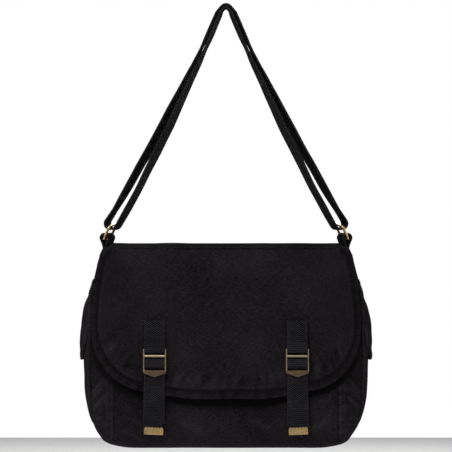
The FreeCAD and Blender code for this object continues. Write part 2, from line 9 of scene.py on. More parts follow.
import bmesh
import bpy
import numpy as np
from bpy.props import FloatProperty, FloatVectorProperty, PointerProperty
from bpy.types import Operator, Panel, PropertyGroup
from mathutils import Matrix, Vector


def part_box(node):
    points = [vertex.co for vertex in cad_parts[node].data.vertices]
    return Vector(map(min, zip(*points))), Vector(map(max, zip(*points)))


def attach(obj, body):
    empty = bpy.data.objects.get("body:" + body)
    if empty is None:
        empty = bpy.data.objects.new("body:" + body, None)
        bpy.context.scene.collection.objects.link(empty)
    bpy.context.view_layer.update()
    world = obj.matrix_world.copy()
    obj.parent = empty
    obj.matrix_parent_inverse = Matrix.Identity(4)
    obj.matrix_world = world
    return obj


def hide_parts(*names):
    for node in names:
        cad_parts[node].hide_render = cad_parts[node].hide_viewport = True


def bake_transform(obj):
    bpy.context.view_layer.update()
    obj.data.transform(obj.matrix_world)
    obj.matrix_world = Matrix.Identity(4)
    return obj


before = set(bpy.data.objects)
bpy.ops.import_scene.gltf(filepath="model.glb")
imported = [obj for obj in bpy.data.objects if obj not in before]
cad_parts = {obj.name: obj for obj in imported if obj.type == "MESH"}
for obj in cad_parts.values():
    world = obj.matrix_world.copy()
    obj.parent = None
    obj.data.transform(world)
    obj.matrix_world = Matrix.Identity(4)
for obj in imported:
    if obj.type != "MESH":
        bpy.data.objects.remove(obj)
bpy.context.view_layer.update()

bl_info = {
    "name": "Messenger Bag Looks",
    "version": (1, 0, 0),
    "blender": (4, 5, 0),
    "location": "3D Viewport > Sidebar > Bag",
    "description": "Builds the cloth, webbing, brass and stitching of a messenger bag",
    "category": "Add Mesh",
}

HANG = 545.0                   # base to the inner fold of the strap
RIM = 248.0                    # top of the body's cloth
SEAM_X = 140.0                 # front and back panels end here, the gussets begin
BASE_RISE = 30.0               # height of the base's edge on the gussets
FLAP_MID = 2.1                 # middle of the flap's cloth, from the body's outer skin
FLAP_CLOTH = 2.6
FLAP_LEVEL = 249.95            # middle of the cloth where the flap lies level over the mouth
SIDES = ((-1, "left"), (1, "right"))
# height, half width, front, back, corner radius of the filled bag's outer skin
SECTIONS = np.array([
    (0, 129, 49, 47, 20),
    (3, 141.5, 52, 50, 22),
    (6.5, 148.5, 55, 53, 23),
    (14, 154.5, 58.5, 56, 24.5),
    (32, 164, 61.5, 59, 26),
    (75, 168.5, 62, 60, 28),
    (160, 168, 61, 56, 28),
    (210, 163.5, 57.5, 49, 23),
    (256, 149, 48, 39, 12),
], float)


# ---------------------------------------------------------------- numbers and curves
def in_mm(metres):
    return metres * 1000.0


def side_by_side(*parts):
    """Arrays as the last axis of one array, each spread to the shape of the others."""
    return np.stack(np.broadcast_arrays(*parts), axis=-1)


def unit(vectors):
    return vectors / np.linalg.norm(vectors, axis=-1, keepdims=True)


def smooth_step(value, low, high):
    """0 below low, 1 above high, and 3t^2 - 2t^3 between."""
    t = np.clip((np.asarray(value, float) - low) / (high - low), 0, 1)
    return t * t * (3 - 2 * t)


def bell(value, middle, width):
    """exp(-((value - middle) / width)^2)"""
    return np.exp(-((np.asarray(value, float) - middle) / width) ** 2)


def hermite(at, table, column=1):
    """Cubic Hermite curve of a table's column over its first, with slopes by np.gradient."""
    knots, values = table[:, 0], table[:, column]
    at = np.clip(np.asarray(at, float), knots[0], knots[-1])
    slopes = np.gradient(values, knots)
    i = np.clip(np.searchsorted(knots, at, side="right") - 1, 0, len(knots) - 2)
    step = knots[i + 1] - knots[i]
    t = (at - knots[i]) / step
    return ((2 * t**3 - 3 * t**2 + 1) * values[i] + (t**3 - 2 * t**2 + t) * step * slopes[i]
            + (3 * t**2 - 2 * t**3) * values[i + 1] + (t**3 - t**2) * step * slopes[i + 1])


def ripple(a, b, seed, longest, shortest, count=9):
    """Sum of seeded plane sine waves in two directions, about -1 to 1."""
    rng = np.random.default_rng(seed)
    total = np.zeros(np.broadcast(a, b).shape)
    for _ in range(count):
        angle, phase = rng.uniform(0, pi), rng.uniform(0, 2 * pi)
        wave = rng.uniform(shortest, longest)
        total += np.sin(2 * pi * (a * cos(angle) + b * sin(angle)) / wave + phase)
    return total / sqrt(2 * count)


def crease(a, b, start, end, width):
    """Height 1 along the run from start to end, fading by a bell across and at both ends."""
    start, end = np.array(start, float), np.array(end, float)
    run = end - start
    length = np.hypot(*run)
    along = ((a - start[0]) * run[0] + (b - start[1]) * run[1]) / length
    across = ((a - start[0]) * run[1] - (b - start[1]) * run[0]) / length
    ends = smooth_step(along, 0, length * 0.3) * (1 - smooth_step(along, length * 0.6, length))
    return ends * bell(across, 0, width)


def run_lengths(points):
    """Length along a polyline up to each of its points."""
    return np.concatenate([[0], np.cumsum(np.linalg.norm(np.diff(points, axis=0), axis=1))])


def even_lengths(points):
    """The same for points that are evenly spaced."""
    return np.arange(len(points)) * np.linalg.norm(points[1] - points[0])


def resample(points, count=None, pitch=None):
    """Points spaced evenly by length along a polyline of any dimension."""
    points = np.asarray(points, float)
    lengths = run_lengths(points)
    if count is None:
        count = max(2, int(round(lengths[-1] / pitch)) + 1)
    at = np.linspace(0, lengths[-1], count)
    return side_by_side(*(np.interp(at, lengths, column) for column in points.T))


def rounded(points, radius, steps=8):
    """A polyline whose inner corners are turned into arcs of the radius."""
    points = [np.array(p, float) for p in points]
    out = [points[0]]
    for before, corner, after in zip(points, points[1:], points[2:]):
        back, ahead = unit(before - corner), unit(after - corner)
        half = acos(np.clip(np.dot(back, ahead), -1, 1)) / 2
        reach = radius / tan(half)
        centre = corner + unit(back + ahead) * radius / sin(half)
        first, last = corner + back * reach - centre, corner + ahead * reach - centre
        turn = pi - 2 * half
        for t in np.linspace(0, 1, steps + 1):
            out.append(centre + (first * sin((1 - t) * turn) + last * sin(t * turn)) / sin(turn))
    return np.array([*out, points[-1]])


# ---------------------------------------------------------------- the bag's outer form
def section_at(height, grow=0.0):
    """Half width, front, back and corner radius at a height, moved outwards by grow."""
    return [hermite(height, SECTIONS, column) + grow for column in range(1, 5)]


def half_perimeter(height):
    half, front, back, radius = section_at(height)
    return 2 * (half - radius) + pi * radius + front + back - 2 * radius


def skin(w, height, grow=0.0):
    """Point and outward direction on the outer form, w millimetres round from the front's middle.

    The section is a rounded rectangle: straight front, corner arc, straight side, corner arc and
    straight back, taken in turn; w is positive towards +X.
    """
    w, height, grow = np.broadcast_arrays(np.asarray(w, float), height, grow)
    half, front, back, radius = section_at(height, grow)
    flat, bend, side = half - radius, radius * pi / 2, front + back - 2 * radius
    away, sign = np.abs(w), np.sign(w)
    first = np.clip((away - flat) / radius, 0, pi / 2)
    second = np.clip((away - flat - bend - side) / radius, 0, pi / 2)
    on_side = np.clip(away - flat - bend, 0, side)
    on_back = np.clip(away - flat - 2 * bend - side, 0, None)
    x = np.minimum(away, flat) + radius * np.sin(first) - radius * (1 - np.cos(second)) - on_back
    y = -front + radius * (1 - np.cos(first)) + on_side + radius * np.sin(second)
    angle = first + second
    outwards = side_by_side(sign * np.sin(angle), -np.cos(angle), 0.0)
    return side_by_side(sign * x, y, height), outwards


def around_of(x, height, grow=0.0):
    """The distance w round the front of the form at which x is reached."""
    half, _, _, radius = section_at(height, grow)
    away, flat = np.abs(x), half - radius
    bent = radius * np.arcsin(np.clip((away - flat) / radius, 0, 1))
    return np.sign(x) * np.where(away <= flat, away, flat + bent)


# ---------------------------------------------------------------- meshes
def mesh_piece(name, points, faces, uv=None, wear_and_shade=None, material=None, body=None):
    """An object from points in millimetres above the base, with uv in millimetres."""
    points = np.asarray(points, float).reshape(-1, 3)
    placed = (points - (0, 0, HANG)) / 1000.0
    mesh = bpy.data.meshes.new(name)
    mesh.from_pydata(placed, [], faces.tolist() if isinstance(faces, np.ndarray) else faces)
    if uv is not None:
        corners = np.zeros(len(mesh.loops), int)
        mesh.loops.foreach_get("vertex_index", corners)
        layer = mesh.uv_layers.new(name="UVMap")
        layer.data.foreach_set("uv", np.asarray(uv, np.float32).reshape(-1, 2)[corners].ravel())
    if wear_and_shade is not None:
        attribute = mesh.attributes.new("wear_and_shade", "FLOAT", "POINT")
        attribute.data.foreach_set("value", np.asarray(wear_and_shade, np.float32).ravel())
    mesh.polygons.foreach_set("use_smooth", np.ones(len(mesh.polygons), bool))
    mesh.update()
    item = bpy.data.objects.new(name, mesh)
    bpy.context.scene.collection.objects.link(item)
    if material:
        mesh.materials.append(material)
    if body:
        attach(item, body)
    return item


def grid_faces(rows, columns, around=False, along=False):
    """Quads of a grid of points, closed round its columns or its rows if asked."""
    i, j = np.meshgrid(np.arange(rows - (not along)), np.arange(columns - (not around)),
                       indexing="ij")
    i, j = i.ravel(), j.ravel()
    down, right = (i + 1) % rows, (j + 1) % columns
    return side_by_side(i * columns + j, i * columns + right, down * columns + right,
                        down * columns + j)


def grid_uv(points):
    """UV in millimetres: length along the columns and along the rows of a grid of points."""
    across = np.linalg.norm(np.diff(points, axis=1), axis=2)
    down = np.linalg.norm(np.diff(points, axis=0), axis=2)
    u = np.pad(np.cumsum(across, axis=1), ((0, 0), (1, 0)))
    v = np.pad(np.cumsum(down, axis=0), ((1, 0), (0, 0)))
    return side_by_side(u - u.mean(axis=1, keepdims=True), v)


def edit_mesh(item, change):
    kit = bmesh.new()
    kit.from_mesh(item.data)
    change(kit)
    kit.to_mesh(item.data)
    kit.free()


def weld(item):
    """Merge the doubles of a mesh, such as the two sides of a closed seam."""
    edit_mesh(item, lambda kit: bmesh.ops.remove_doubles(kit, verts=kit.verts, dist=0.00002))


def recalculate(item):
    """Turn every face of a closed mesh outwards."""
    edit_mesh(item, lambda kit: bmesh.ops.recalc_face_normals(kit, faces=kit.faces))


def tube(name, points, wear_and_shade, material, body, uv=None, closed=False):
    """A mesh of closed rings, one to a row, with capped ends unless it is an endless band."""
    rows, count = points.shape[:2]
    faces = grid_faces(rows, count, around=True, along=closed).tolist()
    if not closed:
        faces += [list(range(count)), list(range(rows * count - count, rows * count))]
    item = mesh_piece(name, points, faces, grid_uv(points) if uv is None else uv,
                      np.broadcast_to(wear_and_shade, (rows, count)), material, body)
    recalculate(item)
    return item


def thicken(item, thickness, inside=None, offset=0.0):
    """A solidify modifier; the inner face and rim may take another material."""
    modifier = item.modifiers.new("Cloth thickness", "SOLIDIFY")
    modifier.thickness = thickness / 1000.0
    modifier.offset = offset
    if inside:
        item.data.materials.append(inside)
        modifier.material_offset = 1


def inwards_of(line):
    """Unit directions to the inside of a D, at each point of its edge."""
    run = unit(np.gradient(line, axis=0))
    return side_by_side(-run[:, 1], run[:, 0])


def fan(top, edge, border, count):
    """Rows of cloth from its top line to its edge; the last ones follow it, border inside it."""
    rim = edge + inwards_of(edge) * border[:, None, None]
    down = np.linspace(0, 1, count + 1)[:-1, None, None]
    return np.concatenate([top + (rim[0] - top) * down, rim])


def hem_section(half_deep, middle, half_high, square, count):
    """Outline of a rounded bar, as distances in from the edge and distances off the cloth."""
    turn = np.linspace(0, 2 * pi, count + 1)[:-1]
    deep, high = (np.sign(wave) * np.abs(wave) ** square for wave in (np.cos(turn), np.sin(turn)))
    return half_deep * deep + middle, half_high * high


# ---------------------------------------------------------------- materials
def linear(hex_colour):
    """Linear RGBA of an sRGB hex colour."""
    parts = [int(hex_colour[i:i + 2], 16) / 255 for i in (0, 2, 4)]
    return tuple(p / 12.92 if p <= 0.04045 else ((p + 0.055) / 1.055) ** 2.4 for p in parts) + (1,)


def add_node(tree, kind, settings=None, inputs=None):
    """Add a shader node; an input is a value or the socket that it is linked from."""
    node = tree.nodes.new("ShaderNode" + kind)
    for key, value in (settings or {}).items():
        setattr(node, key, value)
    for key, value in (inputs or {}).items():
        if isinstance(value, bpy.types.NodeSocket):
            tree.links.new(value, node.inputs[key])
        else:
            node.inputs[key].default_value = value
    return node


def math_node(tree, operation, first, second=0.0, third=0.0, clamp=False):
    node = add_node(tree, "Math", {"operation": operation, "use_clamp": clamp},
                    {0: first, 1: second, 2: third})
    return node.outputs[0]


def total(tree, start, *terms):
    """start plus each value times its weight."""
    for value, weight in terms:
        start = math_node(tree, "MULTIPLY_ADD", value, weight, start)
    return start


def new_material(name, roughness, specular, metallic=0.0):
    """A material with its Principled shader; uniform values go on the shader's own sockets."""
    material = bpy.data.materials.new(name)
    material.use_nodes = True
    shader = material.node_tree.nodes["Principled BSDF"]
    shader.inputs["Roughness"].default_value = roughness
    shader.inputs["Specular IOR Level"].default_value = specular
    shader.inputs["Metallic"].default_value = metallic
    return material, material.node_tree, shader


def noise(tree, vector, scale, detail=3.0, roughness=0.55):
    return add_node(tree, "TexNoise", None, {"Vector": vector, "Scale": scale, "Detail": detail,
                                             "Roughness": roughness}).outputs["Fac"]


def stretched_noise(tree, uv, across, along):
    """Noise over the UV map, with its own number of cells to the millimetre each way."""
    spread = add_node(tree, "Mapping", None, {"Vector": uv, "Scale": (across, along, 1)})
    return noise(tree, spread.outputs[0], 1.0, 3.0, 0.6)


def object_place(tree):
    return add_node(tree, "TexCoord").outputs["Object"]


def cloth_place(tree):
    """The piece's own UV map in millimetres, its separate u and v, and how rubbed it is, with
    painted shade added in places.
    """
    uv = add_node(tree, "UVMap", {"uv_map": "UVMap"}).outputs["UV"]
    split = add_node(tree, "SeparateXYZ", None, {"Vector": uv})
    # worn reads the wear attribute: rubbed wear, with painted shade where it is below zero
    worn = add_node(tree, "Attribute", {"attribute_name": "wear_and_shade"}).outputs["Fac"]
    return uv, split.outputs["X"], split.outputs["Y"], worn


def mix_colours(tree, shader, amount, dark, bright):
    """Base colour from dark at 0 to bright at 1."""
    colour = add_node(tree, "Mix", {"data_type": "RGBA"}, {0: amount, 6: dark, 7: bright})
    tree.links.new(colour.outputs[2], shader.inputs["Base Color"])


def add_bump(tree, shader, strength, distance, height):
    """Relief on top of any that the shader has already; distance is in metres."""
    below = shader.inputs["Normal"]
    inputs = {"Strength": strength, "Distance": distance, "Height": height}
    if below.is_linked:
        inputs["Normal"] = below.links[0].from_socket
    bump = add_node(tree, "Bump", None, inputs)
    tree.links.new(bump.outputs[0], below)


def worn_cotton(name, dark, faded, pitch, fade=1.0):
    """Garment-washed cotton canvas: dyed dark, with paler slubs, specks and rubbed folds, and
    painted shade where the wear attribute goes below zero.

    Its plain weave, sin(2 pi u / pitch) times sin(2 pi v / pitch), is drawn coarser than the
    real 0.6 mm so that it shows.
    """
    material, tree, shader = new_material(name, 0.95, 0.02)
    place = object_place(tree)
    uv, u, v, worn = cloth_place(tree)
    clouds = noise(tree, place, 14.0, 2.0, 0.5)          # about 70 mm across
    patches = noise(tree, place, 110.0, 3.0, 0.6)        # about 9 mm across
    specks = noise(tree, place, 620.0, 2.0, 0.7)         # about 1.6 mm across
    weft = stretched_noise(tree, uv, 0.2, 1.2)           # threads 5 mm long, 0.8 mm wide
    warp = stretched_noise(tree, uv, 0.9, 0.3)           # threads 1.1 mm wide, 3.3 mm long
    slubs = total(tree, weft, (warp, 0.35))
    mottle = total(tree, -1.635, (clouds, 0.5), (patches, 0.18), (specks, 0.7), (slubs, 1.4))
    # rubbed is paler where the cloth is worn, and darker with painted shade where worn is below
    # zero
    rubbed = math_node(tree, "MULTIPLY", worn, total(tree, -0.35, (slubs, 1.4)))
    amount = math_node(tree, "ADD", total(tree, 0.30, (mottle, 1.35 * fade)), rubbed, clamp=True)
    mix_colours(tree, shader, amount, dark, faded)
    across, along = (math_node(tree, "SINE", math_node(tree, "MULTIPLY", place_on, 2 * pi / pitch))
                     for place_on in (u, v))
    weave = math_node(tree, "MULTIPLY", math_node(tree, "MULTIPLY", across, along), 0.35)
    add_bump(tree, shader, 0.6, 0.0004, total(tree, weave, (slubs, 1.8)))
    add_bump(tree, shader, 0.5, 0.0022, noise(tree, place, 60.0, 2.0, 0.5))   # dents, 16 mm
    return material


def cotton_webbing(name, dark, faded):
    """Heavy cotton webbing: herringbone ribs, v plus the folded u, with rubbed selvedges."""
    rib = 2.5
    material, tree, shader = new_material(name, 0.92, 0.03)
    uv, u, v, worn = cloth_place(tree)
    slant = math_node(tree, "ADD", v, math_node(tree, "PINGPONG", u, rib * 0.75))
    ribs = math_node(tree, "SINE", math_node(tree, "MULTIPLY", slant, 2 * pi / rib))
    specks = stretched_noise(tree, uv, 0.9, 0.35)        # 1.1 mm wide, 2.9 mm long
    clouds = noise(tree, object_place(tree), 30.0, 3.0, 0.6)      # about 33 mm across
    amount = total(tree, -1.08, (ribs, 0.5), (specks, 1.9), (clouds, 0.6))
    amount = math_node(tree, "ADD", amount, math_node(tree, "MULTIPLY", worn, 0.55), clamp=True)
    mix_colours(tree, shader, amount, linear(dark), linear(faded))
    add_bump(tree, shader, 0.9, 0.0005, total(tree, ribs, (specks, 0.9)))
    return material


def spun_thread(name, dark, bright):
    """Polyester sewing thread: smooth, with a slight shine along each stitch."""
    material, tree, shader = new_material(name, 0.7, 0.08)
    clouds = noise(tree, object_place(tree), 300.0, 1.0)          # about 3 mm across
    mix_colours(tree, shader, clouds, linear(dark), linear(bright))
    return material


def antique_brass(name, dark, bright, roughness):
    """Zinc alloy plated in antique brass: darker and brighter in soft clouds, with a fine grain."""
    material, tree, shader = new_material(name, roughness, 0.5, metallic=1.0)
    place = object_place(tree)
    clouds = noise(tree, place, 160.0, 3.0, 0.5)         # about 6 mm across
    grains = noise(tree, place, 1500.0, 2.0, 0.6)        # under 1 mm across
    amount = math_node(tree, "MULTIPLY_ADD", clouds, 1.2, -0.1, clamp=True)
    mix_colours(tree, shader, amount, linear(dark), linear(bright))
    rough = total(tree, roughness + 0.08, (clouds, -0.16))
    tree.links.new(rough, shader.inputs["Roughness"])
    add_bump(tree, shader, 0.15, 0.0001, grains)
    return material


def finishes(canvas):
    """All the bag's materials, made once; names are those of the real finishes, but for two copies
    of the buckle's brass, a paler one with painted reflection and a darker one with painted shade.
    """
    dark, faded = (*canvas.dark, 1), (*canvas.faded, 1)
    return {
        "canvas": worn_cotton("Washed cotton canvas", dark, faded, 1.2),
        "binding": worn_cotton("Folded canvas edge", linear("0a090a"), linear("282528"), 1.2),
        "lining": worn_cotton("Cotton twill lining", linear("0a0a0c"), linear("19181b"), 0.9,
                              fade=0.5),
        "webbing": cotton_webbing("Herringbone cotton webbing", "070708", "363438"),
        "thread": spun_thread("Spun polyester thread", "0a090a", "1f1d20"),
        "brass": antique_brass("Antique brass, rubbed", "94754a", "d8ba88", 0.3),
        # one brass for the buckle in two copies: paler with painted reflection for the frame,
        # darker with painted shade for the plate
        "brass_painted_reflection": antique_brass("Antique brass, painted reflection", "85725a", "cdbb9c", 0.32),
        "brass_painted_shade": antique_brass("Antique brass, painted shade", "4c4032", "7c684f", 0.42),
    }


FINISH = {}


# ---------------------------------------------------------------- the sewn body
# start and end as (past the corner seam, height), width, depth
GUSSET_CREASES = [
    ((4, 92), (36, 66), 4.5, -1.9), ((6, 80), (30, 60), 4.0, 1.6), ((2, 72), (30, 48), 3.8, -1.5),
    ((6, 44), (34, 34), 3.5, 1.1), ((10, 228), (30, 205), 6, -1.4), ((2, 216), (26, 226), 5, -1.0),
]
# start and end as (w, height), width, depth
PANEL_CREASES = [
    ((-128, 46), (-70, 14), 6, -1.0), ((-134, 30), (-96, 10), 4, 0.9),
    ((-60, 40), (-20, 18), 8, 0.7), ((-136, 72), (-112, 44), 4, -0.8),
    ((130, 40), (74, 12), 6, -0.9), ((134, 56), (112, 24), 4, 0.8),
    ((20, 44), (66, 22), 8, 0.7), ((136, 80), (116, 52), 4, -0.7),
]


def flap_shadow_and_kept_dye(w, height):
    """Painted shadow: how much darker the cloth is drawn just past the flap's edge, where the
    flap's shadow falls, plus the darker dye that the cloth keeps under the flap.
    """
    edge = flap_edge(FLAP_COLUMNS)
    near = np.full(w.shape, np.inf)
    for spot in edge[::2]:
        near = np.minimum(near, np.hypot(w - spot[0], height + 1.5 - spot[1]))
    lower = edge[edge[:, 1] < CORNER_TOP + 40]
    low_line = np.interp(w, lower[:, 0], lower[:, 1], np.inf, np.inf)
    covered = smooth_step(height - low_line, 0, 10)
    return ((1.5 - 0.9 * covered) * (1 - smooth_step(near, 2.5, 8.5))
            + 0.25 * (1 - smooth_step(near, 5, 30)) + 0.5 * covered)


def shell_rise(w, height):
    """Outward relief of the sewn body and how rubbed it is, at w round and height up, with painted
    shade in the corner seams' grooves and a painted shadow below the flap's edge.

    Broad ripples, plus a raised band beside each corner seam with a groove at its edge and
    puckers along it, the same at the base's edge, and soft creases where the gusset gives.
    """
    away, seam = np.abs(w), around_of(SEAM_X, height)
    back_seam = half_perimeter(height) - seam
    rise = 0.9 * ripple(w, height, 3, 150, 60) + 0.35 * ripple(w, height, 4, 45, 22)
    # rubbed base edge, less the painted shadow below the flap's edge and the darker dye kept under
    # the flap
    wear_and_shade = 0.35 * bell(height, 1.5, 3.0) - flap_shadow_and_kept_dye(w, height)
    above_base = smooth_step(height, 4, 16)
    for past, seed in ((away - seam, 11), (back_seam - away, 12)):
        puckers = ripple(height, w * 0.2, seed, 13, 6.5, 5)
        rise += above_base * (0.75 * smooth_step(past, -0.6, 0.8) * (1 - smooth_step(past, 6.5, 10))
                              - 1.0 * bell(past, -1.2, 1.3)
                              + 0.45 * puckers * bell(past, 2.0, 9.0))
        # the -0.8 term is painted shade in the groove beside each corner seam; the pale terms are
        # rubbed crests
        wear_and_shade += above_base * (0.9 * bell(past, 0.6, 1.1) - 0.8 * bell(past, -1.3, 1.0)
                              + 0.5 * bell(past, 5.8, 0.9)
                              + 0.30 * puckers * bell(past, 3.0, 7.0))
    on_gusset = (smooth_step(away, seam + 1, seam + 4)
                 * (1 - smooth_step(away, back_seam - 4, back_seam - 1)))
    up = height - BASE_RISE
    rise += on_gusset * (0.7 * (1 - smooth_step(up, -0.8, 0.8)) - 0.5 * bell(up, 1.6, 1.4)
                         + 0.3 * ripple(w, height * 0.2, 14, 15, 7, 5) * bell(up, 0, 8))
    wear_and_shade += on_gusset * 0.5 * bell(up, -0.6, 1.2)
    for side, _ in SIDES:
        local = w * side - seam
        for start, end, width, size in GUSSET_CREASES:
            rise += 1.6 * size * crease(local, height, start, end, width)
            wear_and_shade += 0.7 * crease(local - 2.5, height + 3.5, start, end, width * 0.5)
    for start, end, width, size in PANEL_CREASES:
        rise += 1.4 * size * crease(w, height, start, end, width)
        wear_and_shade += 0.35 * crease(w, height + 3.0, start, end, width * 0.5)
    return rise, wear_and_shade


def body_columns(height):
    """Distances w round the form at which the columns stand, so that seams fall on columns."""
    seam = around_of(SEAM_X - 1.25 * np.clip(12 - height, 0, 12), height)
    whole = half_perimeter(height)
    panel, gusset = np.linspace(0, 1, 59)[1:], np.linspace(0, 1, 61)[1:]
    right = np.concatenate([seam * panel, seam + (whole - 2 * seam) * gusset,
                            whole - seam + seam * panel[:-1]])
    return np.concatenate([[0], right, [whole], -right[::-1]])


def build_body_shell(canvas):
    """The body as one continuous lofted shell: front, gussets and back over a closed base."""
    round_in = 2.5
    heights = np.concatenate([[0, 0.3, 0.9, 1.8, 3.0], np.arange(4.5, 26, 2.2),
                              np.arange(27, 34, 1.0), np.arange(35.5, RIM - 2, 2.65),
                              [RIM - 1.6, RIM]])
    columns = np.stack([body_columns(h) for h in heights])
    level = np.broadcast_to(heights[:, None], columns.shape)
    short = np.clip(round_in - level, 0, None)
    tuck = round_in - np.sqrt(np.clip(round_in**2 - short**2, 0, None))
    points, outwards = skin(columns, level, -tuck)
    rise, wear_and_shade = shell_rise(columns, level)
    points = points + outwards * (rise * in_mm(canvas.relief))[..., None]
    # the base: the lowest ring drawn in to the line between its front and back columns
    ring = points[0]
    middle = ring * (0.86, 0, 1) + (0, (ring[:, 1].max() + ring[:, 1].min()) / 2, 0)
    share = np.linspace(0, 1, 15)[1:, None, None]
    base = middle + (ring - middle) * share
    sag = 0.5 * ripple(base[..., 0], base[..., 1], 21, 120, 60)
    base[..., 2] = np.clip(sag * (1 - smooth_step(share[..., 0], 0.6, 1)), 0, None)
    base_floor = np.concatenate([middle[None], base[:-1]])
    grid = np.concatenate([base_floor, points])
    # the shell's wear with its painted shade and shadow, and a little wear on the base
    rubbed = np.concatenate([np.full(base_floor.shape[:2], 0.1), wear_and_shade])
    item = mesh_piece("bag_shell", grid, grid_faces(*grid.shape[:2], around=True), grid_uv(grid),
                      rubbed, FINISH["canvas"], "bag")
    weld(item)
    thicken(item, in_mm(canvas.wall), offset=-1.0)
    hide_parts("front_panel", "back_panel", "base_panel", "gusset_left", "gusset_right")


def build_mouth_facing():
    """The hem inside the mouth: a band of cloth all round under the rim."""
    inset, facing = 3.6, 1.6
    heights = np.concatenate([[RIM - 24, RIM - 23.4], np.arange(RIM - 20, RIM - 1, 4), [RIM - 0.3]])
    columns = np.stack([body_columns(h)[::2] for h in heights])
    level = np.broadcast_to(heights[:, None], columns.shape)
    points, _ = skin(columns, level, -inset - 0.25 * ripple(columns, level, 31, 30, 12))
    item = mesh_piece("mouth_facing", points, grid_faces(*points.shape[:2], around=True),
                      grid_uv(points), bell(level, RIM, 3) * 0.6, FINISH["lining"], "bag")
    thicken(item, facing, offset=-1.0)
    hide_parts("mouth_hem_front", "mouth_hem_back", "gusset_hem_left", "gusset_hem_right")


# ---------------------------------------------------------------- the flap
FLAP_SIDE, CORNER_TOP, FLAP_CORNER, FLAP_CORNER_END, FLAP_LOW = 164.5, 145.0, 75.3, 105.0, 62.0
FLAP_COLUMNS, FLAP_ROWS = 281, 73
BACK_COLUMNS, BACK_LEVEL_ROWS = 143, 36
FLAP_BORDER = np.array([15.0, 13.2, 11.8, 10.9, 10.2, 9.4, 8.4, 6.5, 4.0, 1.6])
NECK_X = 142.0
FOLD_Z = 250.0
FOLD_ROW = FOLD_Z - 5.5        # the front's first row; the fold's arc starts from it
FOLD_RADIUS, FOLD_LEAN = 4.6, 0.2
SPLIT_Y = -38.5                # the cloth is in two pieces, which meet here on the level part
# start and end as (w, height) on either side, width, depth
FLAP_CREASES = [
    ((74, 150), (40, 168), 4.5, 0.5), ((100, 152), (130, 172), 4.5, 0.5),
    ((72, 128), (44, 112), 5.0, -0.5), ((104, 124), (138, 108), 5.0, -0.5),
    ((60, 246), (96, 226), 7.0, -0.5), ((130, 244), (152, 214), 6.0, -0.7),
]


def flap_edge(count):
    """The D-shaped edge as (w, height) from the left end of the fold to the right end."""
    corner_x = FLAP_SIDE - FLAP_CORNER
    neck = rounded([(-NECK_X, FOLD_Z), (-146.0, 248.6), (-151.0, 245.4), (-154.6, 237),
                    (-158.6, 219), (-162.6, 190), (-FLAP_SIDE, 160)], 5.0, 5)
    turn = np.linspace(pi, 1.5 * pi - asin((FLAP_CORNER_END - corner_x) / FLAP_CORNER), 40)
    corner = side_by_side(-corner_x + FLAP_CORNER * np.cos(turn),
                          CORNER_TOP + FLAP_CORNER * np.sin(turn))
    x = np.linspace(-FLAP_CORNER_END, 0, 30)[1:]
    bottom = side_by_side(x, FLAP_LOW + (corner[-1, 1] - FLAP_LOW)
                          * (np.abs(x) / FLAP_CORNER_END) ** 3.2)
    left = np.concatenate([neck, corner, bottom])
    left[:, 1] += 0.5 * np.sin(left[:, 0] / 17.0) * (left[:, 1] < 120)
    right = left[::-1][1:] * (-1, 1)
    right[:, 1] += 0.5 * np.sin(right[:, 0] / 14.0 + 1) * (right[:, 1] < 120)
    line = np.concatenate([left, right])
    line[:, 0] = around_of(line[:, 0], line[:, 1], FLAP_MID)
    return resample(line, count)


def flap_rise(w, height):
    """Relief of the flap: drape, hollows under the closures, a flare and puckers at its edge."""
    free = smooth_step(FOLD_Z - height, 4, 60)
    low = smooth_step(FLAP_LOW + 26 - height, 0, 26)
    puckered = smooth_step(FLAP_LOW + 34 - height, 0, 14)
    rise = free * (0.8 * ripple(w, height, 41, 160, 70, 8) + 0.3 * ripple(w, height, 42, 50, 24, 7))
    rise = rise + low * (4.2 * (1 - smooth_step(np.abs(w), 40, 74)) + 1.4
                         + 0.6 * ripple(w, 0.0, 43, 34, 16, 5))
    rise = rise + 0.4 * puckered * ripple(w, height * 0.3, 44, 12, 6, 6)
    for side, _ in SIDES:
        rise = rise - 0.8 * free * bell(w * side, 88, 20) * smooth_step(150 - height, -25, 30)
        for start, end, width, size in FLAP_CREASES:
            rise = rise + size * crease(w * side, height, start, end, width)
    return rise


def flap_surface(w, height):
    """Point and outward direction on the front of the flap, at the middle of its cloth."""
    return skin(w, height, FLAP_MID + flap_rise(w, height))


def flap_front_rows():
    """The flap's front as rows of points, with how rubbed each is and painted shade in the crevice
    by the binding.

    A fan of columns from the fold to the D-shaped edge; rows near the edge follow it.
    """
    edge = flap_edge(FLAP_COLUMNS)
    top = side_by_side(around_of(fold_columns(), FOLD_ROW, FLAP_MID), FOLD_ROW)
    rows = fan(top, edge, FLAP_BORDER, FLAP_ROWS)
    rows[..., 1] = np.minimum(rows[..., 1], FOLD_Z - 1.2)
    points, outwards = flap_surface(rows[..., 0], rows[..., 1])
    # puckers drawn up by the binding, running in from the lower edge
    reach = np.linalg.norm(rows - edge, axis=-1)
    puckers = (ripple(even_lengths(edge), reach * 0.3, 45, 15, 6, 6) * bell(reach, 22, 8)
               * smooth_step(150 - edge[:, 1], 0, 40))
    # painted shade in the crevice just inside the binding (-1.2), and a paler rubbed line further
    # in (0.15)
    groove = 0.15 * bell(FLAP_BORDER, 13.2, 1.4) - 1.2 * bell(FLAP_BORDER, 9.6, 1.3)
    wear_and_shade = np.concatenate([np.zeros(FLAP_ROWS), groove])[:, None] + 0.45 * puckers
    return points + outwards * (0.6 * puckers)[..., None], wear_and_shade


def fold_columns():
    """Where the columns cross the fold, in x: closer together towards its ends."""
    across = np.linspace(-1, 1, FLAP_COLUMNS)
    return np.sign(across) * (1 - (1 - np.abs(across)) ** 1.15) * NECK_X


